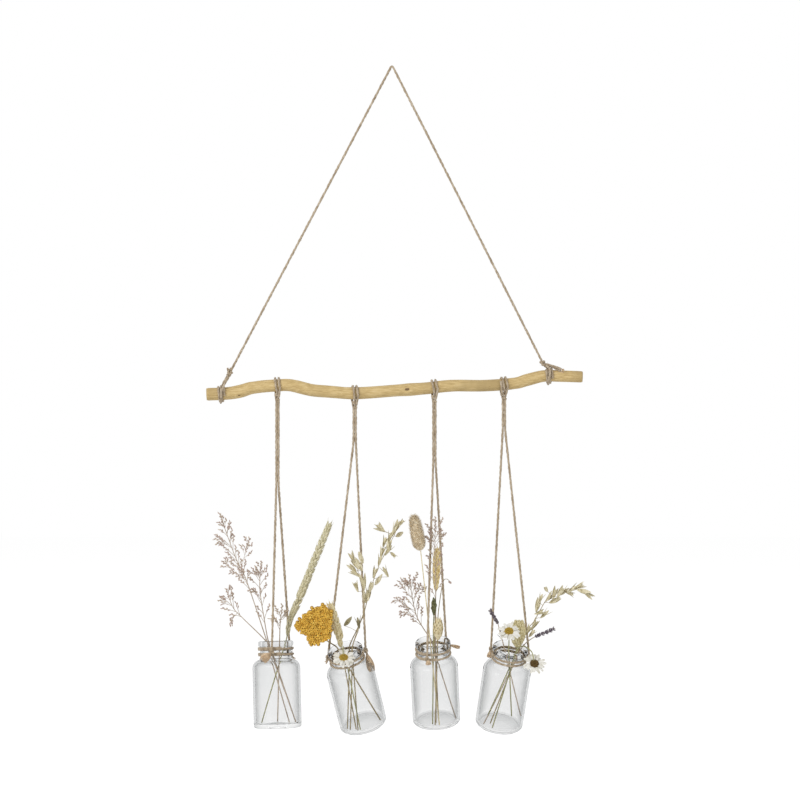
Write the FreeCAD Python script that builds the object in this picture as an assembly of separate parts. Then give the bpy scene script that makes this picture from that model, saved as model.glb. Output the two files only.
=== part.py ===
import FreeCAD, Part
import math
import os

# Hanging bud vases: a crooked peeled stick hangs from a triangle of jute twine, and four clear
# glass bottles hang from the stick, each in a two-legged twine sling tied round its neck, with
# dried flowers standing in them. Millimetres. The origin is the nail contact under the twine's
# apex, +X is to the right, +Y towards the wall behind and +Z up.

Vector = FreeCAD.Vector
UP = Vector(0, 0, 1)
BACK = Vector(0, 1, 0)
RIGHT = Vector(1, 0, 0)
FULL_TURN = 360.0
HALF_TURN = 180.0
QUARTER_TURN = 90.0

# Twine
twine_diameter = 2.4
twine_sides = 5
seat_gap = 0.3
turn_gap = 0.65
nail_diameter = 4.0
tail_length = 11.0

# Stick
stick_length = 400.0
stick_left_thickness = 13.4
stick_right_thickness = 12.2
stick_drop = 343.4
stick_left_overhang = 197.3
stick_rings = 34
stick_sides = 10
stick_stub_length = 2.0
stick_stub_width = 8.0

# Hanger knots and end ties
hanger_knot_radius = 2.9
hanger_knot_length = 6.6
left_knot_rise = 20.2
left_knot_side = 173.1
right_knot_rise = 31.4
right_knot_side = 160.6

# Hitches and the knots that the slings swing on
hitch_knot_radius = 3.0
hitch_knot_length = 9.4
hitch_knot_drop = 14.2
hitch_lead_angle = 40.0
hitch_lead_spread = 6.8
hitch_pitch = 3.4
end_tie_opening = 30.0
knot_end_room = 0.9

# Bottle
bottle_height = 92.0
bottle_radius = 25.5
bottle_wall = 2.2
neck_radius = 16.8
neck_length = 10.6
rim_radius = 18.8
rim_height = 6.0
rim_bevel = 1.2
shoulder_round = 9.0
neck_root_round = 3.5
base_round = 3.2
base_ring_width = 3.5
base_thickness = 4.0
base_push_up = 2.4
shoulder_steps = 3

# Neck ties
most_neck_turns = 2.2
neck_knot_radius = 2.6
neck_knot_length = 5.4
neck_tail_spread = 0.85
neck_knot_tilt_room = 0.05
rim_bend_room = 0.5

# Stems and heads
stem_thickness = 1.3
seat_step = 0.02
fine_stem_thickness = 0.9
floret_length = 4.0
floret_width = 2.6
spikelet_length = 13.0
spikelet_width = 3.0
daisy_petal_reach = 12.4
daisy_disk_radius = 4.8
daisy_petal_thickness = 0.8
daisy_dome_height = 2.2
daisy_petals = 12
long_wheat_width = 8.6
short_wheat_width = 9.0
gold_wheat_width = 7.6
bunny_tail_width = 16.0
canary_ear_width = 15.6
canary_ear_depth = 5.6
lavender_width = 4.4
bud_width = 4.4
straw_flower_width = 7.4
yarrow_width = 37.0
yarrow_depth = 11.0
yarrow_height = 25.0
yarrow_floret_width = 5.0

# How far each head rises over its bottle's rim
tall_sea_lavender_rise = 135.0
mid_sea_lavender_rise = 83.0
low_sea_lavender_rise = 55.0
short_sprig_rise = 37.0
long_wheat_rise = 123.0
yarrow_rise = 57.0
mouth_daisy_rise = 16.0
single_oat_rise = 30.0
short_wheat_rise = 46.0
left_oat_rise = 98.0
right_oat_rise = 115.0
right_oat_spread_share = 0.2875
bunny_tail_rise = 137.0
left_sea_lavender_rise = 71.0
gold_wheat_rise = 93.0
upright_sea_lavender_rise = 134.0
green_bud_rise = 46.0
straw_flower_rise = 25.0
curled_stem_rise = 62.0
left_daisy_rise = 24.0
right_daisy_rise = 16.0
canary_rise = 30.0
right_lavender_rise = 26.0
arched_oat_rise = 76.0
left_lavender_rise = 34.0

# The stick's centre line: (along, back, up) as shares of its length
stick_line_shares = (
    (0.000, 0.000, -0.0040),
    (0.057, 0.002, -0.0013),
    (0.089, 0.003, 0.0040),
    (0.121, 0.003, 0.0133),
    (0.185, 0.000, 0.0194),
    (0.222, -0.002, 0.0199),
    (0.281, -0.004, 0.0066),
    (0.328, -0.003, 0.0027),
    (0.382, 0.000, -0.0013),
    (0.424, 0.002, 0.0000),
    (0.504, 0.003, 0.0061),
    (0.584, 0.001, 0.0120),
    (0.648, -0.001, 0.0186),
    (0.743, -0.002, 0.0191),
    (0.823, 0.001, 0.0253),
    (0.855, 0.003, 0.0346),
    (0.898, 0.003, 0.0444),
    (0.951, 0.001, 0.0439),
    (1.000, 0.000, 0.0423),
)
# Swellings of the stick: (along, swell) with swell as a share of its thickness
stick_swell_shares = ((0.09, 0.04), (0.25, 0.03), (0.36, -0.02), (0.54, 0.07), (0.86, 0.05))
stick_stub_shares = (0.085, 0.534)
left_tie_share = 0.040
right_tie_share = 0.912

# One row a bottle: where its hitch sits along the stick, its lean to the right and its tip
# towards the viewer in degrees, the middle of the bottle from the hitch knot, how far the stems
# lean back inside as a share of the inner radius, the two knots' places round the neck in
# degrees, and the height of the split between the legs as a share of the hang
bottle_1_hang = 303.8
bottle_2_hang = 297.5
bottle_3_hang = 298.6
bottle_4_hang = 305.9
bottle_1_side = -0.75
bottle_2_side = -0.6
bottle_3_side = 0.35
bottle_4_side = 0.62
bottle_1_back = 0.55
bottle_2_back = -1.54
bottle_3_back = -0.52
bottle_4_back = -2.29
bottles = {
    1: dict(hitch_share=0.1885, lean=-1.65, tip=-5.0, hang=bottle_1_hang, side=bottle_1_side,
            back=bottle_1_back, stem_share=-0.28, knots=(-98.0, 52.0), split_share=0.34),
    2: dict(hitch_share=0.394, lean=-13.0, tip=20.0, hang=bottle_2_hang, side=bottle_2_side,
            back=bottle_2_back, stem_share=0.61, knots=(155.0, 22.0), split_share=0.14),
    3: dict(hitch_share=0.606, lean=-2.9, tip=16.0, hang=bottle_3_hang, side=bottle_3_side,
            back=bottle_3_back, stem_share=0.52, knots=(-108.0, 50.0), split_share=0.24),
    4: dict(hitch_share=0.791, lean=7.4, tip=20.0, hang=bottle_4_hang, side=bottle_4_side,
            back=bottle_4_back, stem_share=0.61, knots=(150.0, 15.0), split_share=0.12),
}

tube_diameter_with_gap = twine_diameter + turn_gap
neck_middle = bottle_height - rim_height - neck_length / 2
inner_radius = bottle_radius - bottle_wall
neck_inner_radius = neck_radius - bottle_wall
inside_round = base_round - bottle_wall / 2
solids = {}


def unit(vector):
    """The vector at length one."""
    return Vector(vector) / vector.Length


def turned(angle, first, second):
    """A unit direction at an angle in degrees from first towards second."""
    return first * math.cos(math.radians(angle)) + second * math.sin(math.radians(angle))


def save(name, shape):
    """Keep one sub-part under its node's name."""
    solids[name] = shape
    shape.exportStep("parts/" + name + ".step")


# Lines and tubes of twine

def tangent_arc(start, corner, end):
    """The arc from start to end whose tangents meet at the corner."""
    to_start = start - corner
    half_turn = (math.pi - to_start.getAngle(end - corner)) / 2
    radius = to_start.Length / math.tan(half_turn)
    middle = (start + end) / 2
    crown = corner + unit(middle - corner) * (radius / math.cos(half_turn) - radius)
    return Part.Arc(start, crown, end).toShape()


def biarc(start, start_way, end, end_way):
    """Two tangent arcs from start to end that leave and arrive along the given ways."""
    chord = end - start
    ways = start_way + end_way
    spread = 2 * (1 - start_way.dot(end_way))
    along = chord.dot(ways)
    if spread < 1e-9:
        reach = chord.Length / 4
    else:
        reach = (-along + math.sqrt(along * along + 2 * spread * chord.dot(chord) / 2)) / spread
    first = start + start_way * reach
    second = end - end_way * reach
    joint = (first + second) / 2
    return [tangent_arc(start, first, joint), tangent_arc(joint, second, end)]


def route_edges(points, label, fixed_radius=None):
    """Straight runs joined by tangent arcs; prints the arcs' radii."""
    edges = []
    radii = []
    last = points[0]
    for before, corner, after in zip(points, points[1:], points[2:]):
        run_in = corner - before
        run_out = after - corner
        half_turn = run_in.getAngle(run_out) / 2
        if fixed_radius is None:
            reach = 0.45 * min(run_in.Length, run_out.Length)
        else:
            reach = fixed_radius * math.tan(half_turn)
        radii.append(reach / math.tan(half_turn))
        enter = corner - unit(run_in) * reach
        leave = corner + unit(run_out) * reach
        edges.append(Part.LineSegment(last, enter).toShape())
        edges.append(tangent_arc(enter, corner, leave))
        last = leave
    edges.append(Part.LineSegment(last, points[-1]).toShape())
    if radii:
        print(label, "arc radii", ", ".join("%.0f" % radius for radius in radii))
    return edges


def helix_edges(centre, axis, first, pitch, radius, start_angle, sweep):
    """A winding's turns as biarcs of up to half a turn, with its end points and ways."""
    second = axis.cross(first)
    rate = pitch / math.radians(FULL_TURN)

    def place(angle):
        rise = pitch * (angle - start_angle - sweep / 2) / FULL_TURN
        return centre + axis * rise + turned(angle, first, second) * radius

    def way(angle):
        return unit(turned(angle + QUARTER_TURN, first, second) * radius + axis * rate)

    count = math.ceil(sweep / HALF_TURN)
    angles = [start_angle + sweep * step / count for step in range(count + 1)]
    edges = []
    for low, high in zip(angles, angles[1:]):
        edges += biarc(place(low), way(low), place(high), way(high))
    ends = (place(angles[0]), way(angles[0]), place(angles[-1]), way(angles[-1]))
    return edges, ends


def twine(edges, diameter=twine_diameter):
    """A many-sided twine along edges that follow each other tangentially."""
    path = Part.Wire(edges)
    start = edges[0].valueAt(edges[0].FirstParameter)
    way = unit(edges[0].tangentAt(edges[0].FirstParameter))
    across = unit(way.cross(UP if abs(way.z) < 0.9 else BACK))
    section = ring(start, way, across, diameter / 2, diameter / 2, twine_sides)
    shape = path.makePipeShell([section], True, False)
    return shape.Solids[0] if shape.Solids else Part.Solid(shape.Shells[0])


def self_gap(edges, label):
    """Print a winding's least gap to itself, measured on points along its line."""
    points = []
    travelled = []
    total = 0
    for edge in edges:
        steps = 12
        low, high = edge.FirstParameter, edge.LastParameter
        for step in range(steps):
            points.append(edge.valueAt(low + (high - low) * step / steps))
            travelled.append(total + edge.Length * step / steps)
        total += edge.Length
    least = min(
        (points[i] - points[j]).Length
        for i in range(len(points))
        for j in range(i)
        if travelled[i] - travelled[j] > 3 * twine_diameter
    )
    print(label, "least gap to itself %.2f mm" % (least - twine_diameter))


# Planar-faced forms: rings of points joined by straight faces

def ring_corners(centre, normal, across, width, depth, sides):
    """Corners round a centre: half width across, half depth square to that."""
    other = unit(normal.cross(across))
    corners = []
    for step in range(sides):
        angle = math.radians(FULL_TURN) * (step + 0.5) / sides
        corners.append(centre + across * (width * math.cos(angle)) + other * (depth * math.sin(angle)))
    return corners


def ring(centre, normal, across, width, depth, sides):
    """A closed outline through the corners round a centre."""
    corners = ring_corners(centre, normal, across, width, depth, sides)
    return Part.makePolygon(corners + corners[:1])


def flat_face(corners):
    """A flat face with these corners."""
    return Part.Face(Part.makePolygon(corners + corners[:1]))


def form(centres, widths, across, sides, depth_share=1.0, normal=None):
    """A solid through parallel rings at the centres, with these half widths."""
    normal = unit(centres[-1] - centres[0]) if normal is None else normal
    across = unit(across - normal * across.dot(normal))
    rings = [
        ring_corners(centre, normal, across, width, width * depth_share, sides)
        for centre, width in zip(centres, widths)
    ]
    faces = [flat_face(rings[0][::-1]), flat_face(rings[-1])]
    for low, high in zip(rings, rings[1:]):
        for step in range(sides):
            following = (step + 1) % sides
            faces.append(flat_face([low[step], low[following], high[following], high[step]]))
    return Part.Solid(Part.makeShell(faces))


def spindle(base, tip, width, profile_shares, across=RIGHT, sides=6, depth_share=1.0):
    """A pointed form from base to tip; each row of the profile is (along, half width) in shares."""
    centres = [base + (tip - base) * along for along, thick in profile_shares]
    widths = [width / 2 * thick for along, thick in profile_shares]
    return form(centres, widths, across, sides, depth_share)


def knot(centre, axis, radius, length, across=BACK):
    """A knot of twine: three full coils with waists between them."""
    coil_shares = ((-0.5, 0.6), (-0.36, 0.98), (-0.18, 0.8), (0, 1.0), (0.18, 0.8), (0.36, 0.98), (0.5, 0.6))
    centres = [centre + axis * (length * along) for along, thick in coil_shares]
    return form(centres, [radius * thick for along, thick in coil_shares], across, twine_sides)


def fused(pieces):
    """One shape out of pieces that grow into each other."""
    if len(pieces) == 1:
        return pieces[0]
    return pieces[0].multiFuse(pieces[1:])


# The stick

def spline(rows, share):
    """A smooth place on a table of rows that start with their share along."""
    last = len(rows) - 1
    index = max(k for k in range(last) if rows[k][0] <= share or k == 0)
    before, low, high, after = (rows[min(max(index + k, 0), last)] for k in (-1, 0, 1, 2))
    span = high[0] - low[0]
    t = (share - low[0]) / span
    place = []
    for k in (1, 2):
        slope_low = (high[k] - before[k]) / (high[0] - before[0]) * span
        slope_high = (after[k] - low[k]) / (after[0] - low[0]) * span
        place.append(
            (2 * t ** 3 - 3 * t ** 2 + 1) * low[k]
            + (t ** 3 - 2 * t ** 2 + t) * slope_low
            + (3 * t ** 2 - 2 * t ** 3) * high[k]
            + (t ** 3 - t ** 2) * slope_high
        )
    return place


def stick_point(share):
    """The middle of the stick at a share of its length."""
    back, up = spline(stick_line_shares, share)
    return Vector(
        stick_length * share - stick_left_overhang,
        stick_length * back,
        stick_length * up - stick_drop,
    )


def stick_way(share):
    """The stick's direction at a share of its length."""
    step = 0.004
    return unit(stick_point(min(share + step, 1)) - stick_point(max(share - step, 0)))


def stick_radius(share):
    """Half the stick's thickness at a share of its length."""
    thickness = stick_left_thickness + (stick_right_thickness - stick_left_thickness) * share
    swell = sum(size * math.exp(-(((share - at) / 0.02) ** 2)) for at, size in stick_swell_shares)
    return thickness / 2 * (1 + swell)


def stick():
    """The peeled stick, with the stubs of two cut twigs."""
    rings = []
    for step in range(stick_rings + 1):
        share = step / stick_rings
        radius = stick_radius(share)
        rings.append(ring(stick_point(share), stick_way(share), UP, radius, radius, stick_sides))
    shape = Part.makeLoft(rings, True, True)
    for share, side in zip(stick_stub_shares, (-50, -75)):
        out = turned(side, BACK * -1, UP)
        root = stick_point(share) + out * (stick_radius(share) - stick_stub_length)
        tip = stick_point(share) + out * (stick_radius(share) + stick_stub_length / 3)
        widths = [stick_stub_width / 2, stick_stub_width / 3]
        shape = shape.fuse(form([root, tip], widths, RIGHT, twine_sides))
    return shape


def hitch(name, share, knot_centre, knot_radius):
    """Twine that leaves a knot, winds round the stick and comes back to the knot."""
    centre = stick_point(share)
    way = stick_way(share)
    radius = stick_radius(share) + seat_gap + twine_diameter / 2
    to_knot = knot_centre - centre
    to_knot = unit(to_knot - way * to_knot.dot(way))
    reach = (knot_centre - centre).Length
    opening = math.degrees(math.acos(radius / reach))
    sweep = 2 * FULL_TURN - 2 * opening
    edges, ends = helix_edges(centre, way, to_knot, hitch_pitch, radius, opening, sweep)
    start, start_way, end, end_way = ends
    front = way.cross(to_knot)
    out = unit(centre - knot_centre)
    leads = []
    for sign in (1, -1):
        lead_way = unit(turned(hitch_lead_angle, out, front * sign))
        foot = knot_centre + lead_way * (knot_radius + seat_gap) - way * (hitch_lead_spread / 2 * sign)
        leads.append((foot, lead_way))
    (first, first_way), (last, last_way) = leads
    first_end = first + first_way * twine_diameter
    last_end = last + last_way * twine_diameter
    path = [Part.LineSegment(first, first_end).toShape()]
    path += biarc(first_end, first_way, start, start_way)
    path += edges
    path += biarc(end, end_way, last_end, last_way * -1)
    path.append(Part.LineSegment(last_end, last).toShape())
    self_gap(path, name)
    save(name, twine(path))


def end_tie(name, share, knot_centre):
    """Two turns of twine round the stick, with a strand before and behind them to the knot."""
    centre = stick_point(share)
    way = stick_way(share)
    radius = stick_radius(share) + seat_gap + twine_diameter / 2
    to_knot = knot_centre - centre
    knot_side = to_knot.dot(way)
    to_knot = unit(to_knot - way * knot_side)
    sweep = 2 * FULL_TURN - 2 * end_tie_opening
    edges, ends = helix_edges(
        centre, way, to_knot, tube_diameter_with_gap, radius, end_tie_opening, sweep
    )
    start, start_way, end, end_way = ends
    path = [Part.LineSegment(start - start_way * twine_diameter, start).toShape()]
    path += edges
    path.append(Part.LineSegment(end, end + end_way * twine_diameter).toShape())
    self_gap(path, name)
    pieces = [twine(path)]
    front = way.cross(to_knot)
    outer_radius = radius + twine_diameter + seat_gap
    height = (knot_centre - centre).dot(to_knot)
    flank = math.degrees(math.acos(outer_radius / height))
    for sign in (1, -1):
        foot = centre + turned(flank, to_knot, front * sign) * outer_radius
        strand_way = unit(foot - knot_centre)
        head = knot_centre + strand_way * (hanger_knot_length / 2 + knot_end_room)
        pieces.append(twine([Part.LineSegment(head, foot).toShape()]))
    save(name, Part.makeCompound(pieces))


# Bottles

class Bottle:
    """A bottle's own frame: its base, the way to its right, its back and its mouth."""

    def __init__(self, number, hitch_share, lean, tip, hang, side, back, stem_share, knots, split_share):
        self.number = number
        self.share = hitch_share
        self.pivot = stick_point(hitch_share) - UP * hitch_knot_drop
        self.knots = knots
        self.split_share = split_share
        up = turned(tip, UP, BACK * -1)
        rear = turned(tip, BACK, UP)
        turn = FreeCAD.Rotation(BACK, lean)
        self.right = turn.multVec(RIGHT)
        self.back = turn.multVec(rear)
        self.up = turn.multVec(up)
        middle = self.pivot + Vector(side, back, -hang)
        self.base = middle - self.up * (bottle_height / 2)
        self.stem_slope = stem_share * inner_radius / (neck_middle - base_thickness)

    def at(self, side, depth, height):
        """A point from its place in the bottle's frame."""
        return self.base + self.right * side + self.back * depth + self.up * height

    def on_stem_sheet(self, side, depth, height):
        """A point whose depth is counted from the stems' leaning plane."""
        return self.at(side, depth + self.stem_slope * (height - neck_middle), height)

    def placed(self, shape):
        """A shape that was made upright on the origin, set on the bottle's frame."""
        matrix = FreeCAD.Matrix(
            self.right.x, self.back.x, self.up.x, self.base.x,
            self.right.y, self.back.y, self.up.y, self.base.y,
            self.right.z, self.back.z, self.up.z, self.base.z,
            0, 0, 0, 1,
        )
        shape.Placement = FreeCAD.Placement(matrix)
        return shape


def curve(centre, radius, start, end, steps):
    """Places (out, up) on an arc about a centre, angles in degrees."""
    places = []
    for step in range(steps + 1):
        angle = math.radians(start + (end - start) * step / steps)
        places.append((centre[0] + radius * math.cos(angle), centre[1] + radius * math.sin(angle)))
    return places


def bottle_glass():
    """The wide-mouthed bottle: pushed-up base, round shoulder, straight neck and thick rim."""
    neck_root = bottle_height - rim_height - neck_length
    joined = shoulder_round + neck_root_round
    inward = joined - (bottle_radius - neck_radius)
    shoulder_foot = neck_root - math.sqrt(joined ** 2 - inward ** 2)
    meet = math.degrees(math.atan2(neck_root - shoulder_foot, inward))
    shoulder_centre = (bottle_radius - shoulder_round, shoulder_foot)
    root_centre = (neck_radius + neck_root_round, neck_root)
    rim_foot = bottle_height - rim_height
    floor_edge = inner_radius - inside_round
    base_centre = (bottle_radius - base_round, base_round)
    inside_centre = (floor_edge, base_thickness + inside_round)
    back_turn = meet + HALF_TURN
    places = [(0, base_push_up), (bottle_radius - base_round - base_ring_width, 0)]
    places += curve(base_centre, base_round, -QUARTER_TURN, 0, 1)
    places += curve(shoulder_centre, shoulder_round, 0, meet, shoulder_steps)
    places += curve(root_centre, neck_root_round, back_turn, HALF_TURN, 2)[1:]
    places += [
        (neck_radius, rim_foot),
        (rim_radius, rim_foot + rim_bevel),
        (rim_radius, bottle_height),
        (neck_inner_radius, bottle_height),
    ]
    places += curve(root_centre, neck_root_round + bottle_wall, HALF_TURN, back_turn, 1)
    places += curve(shoulder_centre, shoulder_round - bottle_wall, meet, 0, shoulder_steps - 1)[1:]
    places += curve(inside_centre, inside_round, 0, -QUARTER_TURN, 1)
    places += [(0, base_thickness + base_push_up), (0, base_push_up)]
    outline = Part.makePolygon([Vector(out, 0, up) for out, up in places])
    return Part.Face(outline).revolve(Vector(0, 0, 0), UP, FULL_TURN)


def neck_tie(bottle, leg_ways, knot_places):
    """The turns round the neck, with a knot and a short tail under each leg."""
    radius = neck_radius + seat_gap + twine_diameter / 2
    start_angle = bottle.knots[1] - 30
    sweep = 2 * FULL_TURN + (bottle.knots[0] - bottle.knots[1]) % FULL_TURN + 60
    if sweep > most_neck_turns * FULL_TURN:
        sweep -= FULL_TURN
    centre = bottle.at(0, 0, neck_middle)
    pitch = tube_diameter_with_gap
    edges, ends = helix_edges(centre, bottle.up, bottle.right, pitch, radius, start_angle, sweep)
    start, start_way, end, end_way = ends
    path = [Part.LineSegment(start - start_way * twine_diameter, start).toShape()]
    path += edges
    path.append(Part.LineSegment(end, end + end_way * twine_diameter).toShape())
    name = "neck_tie_%d" % bottle.number
    self_gap(path, name)
    pieces = [twine(path)]
    for place, way, angle in zip(knot_places, leg_ways, bottle.knots):
        pieces.append(knot(place, way, neck_knot_radius, neck_knot_length))
        out = turned(angle, bottle.right, bottle.back)
        tail_way = unit(way * -1 + out * neck_tail_spread)
        tail_start = place - way * (neck_knot_length / 2)
        tail_end = tail_start + tail_way * tail_length
        tail_widths = [twine_diameter / 2, twine_diameter / 2, twine_diameter / 4]
        tail_centres = [tail_start, (tail_start + tail_end) / 2, tail_end]
        pieces.append(form(tail_centres, tail_widths, RIGHT, 6, normal=way * -1))
    save(name, Part.makeCompound(pieces))


def sling(bottle):
    """The two legs of the sling, from under the hitch knot to the knots at the neck."""
    knot_ring = neck_radius + seat_gap * 2 + twine_diameter + neck_knot_radius + neck_knot_tilt_room
    apart = tube_diameter_with_gap / 2
    top_drop = hitch_knot_radius + seat_gap + seat_gap / 3
    legs = []
    knot_places = []
    leg_ways = []
    for sign, angle in zip((-1, 1), bottle.knots):
        out = turned(angle, bottle.right, bottle.back)
        knot_place = bottle.at(0, 0, neck_middle) + out * knot_ring
        top = bottle.pivot + Vector(apart * sign, 0, -top_drop)
        drop = (bottle.pivot - knot_place).z
        split = bottle.pivot + Vector(apart * sign, 0, -drop * bottle.split_share)
        points = [top, split]
        rim_reach = rim_radius + seat_gap + twine_diameter / 2 + rim_bend_room
        if bottle.number == 3 and sign < 0:
            points.append(bottle.at(0, 0, bottle_height) + out * rim_reach)
        way = unit(points[-1] - knot_place)
        knot_top = knot_place + way * (neck_knot_length / 2)
        points.append(knot_top)
        legs.append(twine(route_edges(points, "sling_twine_%d" % bottle.number)))
        knot_places.append(knot_place)
        leg_ways.append(unit(points[-2] - knot_top))
    save("sling_twine_%d" % bottle.number, Part.makeCompound(legs))
    return leg_ways, knot_places


# Dried flowers. Each stands on its own leaning plane in its bottle: its stem is straight from its
# foot through the neck to the rim, and its head is laid out from there in shares of its rise.

ear_shares = ((0, 0.25), (0.06, 0.7), (0.45, 1.0), (0.8, 0.75), (1, 0.15))
bud_shares = ((0, 0.3), (0.4, 1.0), (0.75, 0.8), (1, 0.2))
tail_shares = ((0, 0.3), (0.08, 0.72), (0.3, 1.0), (0.6, 0.95), (0.85, 0.6), (1, 0.12))
canary_shares = ((0, 0.3), (0.2, 0.75), (0.45, 1.0), (0.7, 0.85), (0.9, 0.45), (1, 0.12))
floret_shares = ((0, 0.3), (0.45, 1.0), (1, 0.35))


def toothed(shares, teeth, depth):
    """A profile with rows of overlapping grains: each row swells and draws in again."""
    rows = []
    for step in range(teeth * 2 + 1):
        along = step / (teeth * 2)
        low, high = [pair for pair in zip(shares, shares[1:]) if pair[0][0] <= along][-1]
        thick = low[1] + (high[1] - low[1]) * (along - low[0]) / (high[0] - low[0])
        rows.append((along, thick * (1 - depth) if step % 2 == 0 else thick))
    return rows


class Stem:
    """A stem in a bottle, and the places of its head."""

    def __init__(self, bottle, neck_shares, foot_shares, rise, spread=None):
        self.bottle = bottle
        self.rise = rise
        self.spread = spread or rise
        self.depth = neck_shares[1] * neck_inner_radius
        neck_side = neck_shares[0] * neck_inner_radius
        foot_side = foot_shares[0] * inner_radius
        foot_height = foot_shares[1] * bottle_height
        self.slope = (neck_side - foot_side) / (neck_middle - foot_height)
        self.rim_side = neck_side + self.slope * (bottle_height - neck_middle)
        self.foot = self.seated_foot(bottle)
        self.rim = bottle.on_stem_sheet(self.rim_side, self.depth, bottle_height)
        self.way = unit(self.rim - self.foot)

    def seated_foot(self, bottle):
        """The lowest place on the stem's line that is clear of the bottle's floor and wall."""
        edge = inner_radius - inside_round
        reach = stem_thickness / 2 + seat_gap
        height = neck_middle - neck_length
        while True:
            lower = height - seat_step
            side = self.rim_side + self.slope * (lower - bottle_height)
            depth = self.depth + bottle.stem_slope * (lower - neck_middle)
            out = math.hypot(side, depth)
            floor = base_thickness + base_push_up * (1 - min(out, edge) / edge)
            round_rise = max(out + reach - edge, 0)
            if out + reach > inner_radius or lower < floor + round_rise + seat_gap:
                out_side = self.rim_side + self.slope * (height - bottle_height)
                return bottle.on_stem_sheet(out_side, self.depth, height)
            height = lower

    def at(self, side, depth, up):
        """A place of the head, in shares of its spread and rise from the rim."""
        return self.bottle.on_stem_sheet(
            self.rim_side + side * self.spread,
            self.depth + depth * self.rise,
            bottle_height + up * self.rise,
        )

    def along(self, places, thickness=stem_thickness, sides=5):
        """The stem from its foot through the rim and these places."""
        centres = [self.foot, self.rim] + [self.at(*place) for place in places]
        thin = thickness / 2
        widths = [thin, thin] + [thin * (0.9 - 0.35 * k / len(places)) for k in range(len(places))]
        return form(centres, widths, self.bottle.right, sides, normal=self.bottle.up)


def twig(start, end, thickness=fine_stem_thickness):
    """A thin side twig."""
    reference = RIGHT if abs(unit(end - start).x) < 0.8 else UP
    return form([start, end], [thickness / 2, thickness / 3], reference, 4)


def sea_lavender(stem, places, sprays):
    """A thin branching stem with small papery florets on each side twig."""
    pieces = [stem.along(places)]
    line = [stem.rim] + [stem.at(*place) for place in places]
    tips = [(line[-2], line[-1])]
    for root_share, side, depth, up in sprays:
        run = root_share * (len(line) - 1)
        index = min(int(run), len(line) - 2)
        root = line[index] + (line[index + 1] - line[index]) * (run - index)
        tip = stem.at(side, depth, up)
        pieces.append(twig(root, tip))
        tips.append((root, tip))
    for root, tip in tips:
        way = unit(tip - root)
        across = unit(way.cross(BACK))
        for back_share, lean in ((0, 0), (0.24, 1), (0.48, -1)):
            base = tip + (root - tip) * back_share - way * (fine_stem_thickness / 2)
            floret_way = unit(way + across * (0.9 * lean))
            end = base + floret_way * floret_length
            pieces.append(spindle(base, end, floret_width, floret_shares, BACK, 3))
    return fused(pieces)


def grass_ear(stem, places, width, teeth, depth_share=1.0, sides=6):
    """A grass ear: rows of grains on the stem, from the first of the last places to the tip."""
    pieces = [stem.along(places[:-1])]
    base = stem.at(*places[-2])
    tip = stem.at(*places[-1])
    base = base - unit(tip - base) * stem_thickness
    rows = toothed(ear_shares, teeth, 0.3)
    pieces.append(spindle(base, tip, width, rows, stem.bottle.right, sides, depth_share))
    return fused(pieces)


def oat(stem, places, twigs):
    """A stem with hanging spikelets on thin twigs."""
    pieces = [stem.along(places)]
    line = [stem.rim] + [stem.at(*place) for place in places]
    ends = [(line[-2], line[-1])]
    for root_share, side, depth, up in twigs:
        run = root_share * (len(line) - 1)
        index = min(int(run), len(line) - 2)
        root = line[index] + (line[index + 1] - line[index]) * (run - index)
        tip = stem.at(side, depth, up)
        pieces.append(twig(root, tip))
        ends.append((root, tip))
    for root, tip in ends:
        way = unit(tip - root)
        base = tip - way * fine_stem_thickness
        pieces.append(spindle(base, base + way * spikelet_length, spikelet_width, bud_shares, BACK, 4, 0.7))
    return fused(pieces)


def daisy(stem, places, head, face):
    """A daisy: petals round a domed disk on a bent stem."""
    centre = stem.at(*head)
    across = unit(RIGHT - face * RIGHT.dot(face))
    other = face.cross(across)
    outline = []
    for petal in range(daisy_petals):
        middle = FULL_TURN * petal / daisy_petals
        half = FULL_TURN / daisy_petals / 2
        reach = daisy_petal_reach * (1 - 0.1 * (petal % 3 == 1))
        shoulder = reach * 0.85
        root = daisy_disk_radius * 0.9
        for turn, out in ((-0.92, root), (-0.6, shoulder), (0, reach), (0.6, shoulder)):
            outline.append(centre + turned(middle + half * turn, across, other) * out)
    petals = Part.Face(Part.makePolygon(outline + outline[:1])).extrude(face * daisy_petal_thickness)
    dome_foot = centre - face * (daisy_petal_thickness / 2)
    dome_top = centre + face * (daisy_petal_thickness + daisy_dome_height)
    dome_shares = ((0, 1.0), (0.55, 1.0), (0.85, 0.75), (1, 0.4))
    dome = spindle(dome_foot, dome_top, 2 * daisy_disk_radius, dome_shares, across, 10)
    cup_foot = centre - face * (2 * daisy_petal_thickness)
    cup_top = centre + face * (daisy_petal_thickness / 2)
    cup = form([cup_foot, cup_top], [daisy_disk_radius / 3, daisy_disk_radius / 2], across, 6)
    pieces = [stem.along(places[:1]), petals, dome, cup]
    line = [stem.at(*place) for place in places] + [centre - face * daisy_petal_thickness]
    for start, end in zip(line, line[1:]):
        way = unit(end - start)
        overlap = way * (stem_thickness / 4)
        widths = [stem_thickness / 2 * 0.9] * 2
        pieces.append(form([start - overlap, end + overlap], widths, RIGHT if abs(way.x) < 0.8 else UP, 5))
    return fused(pieces)


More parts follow.
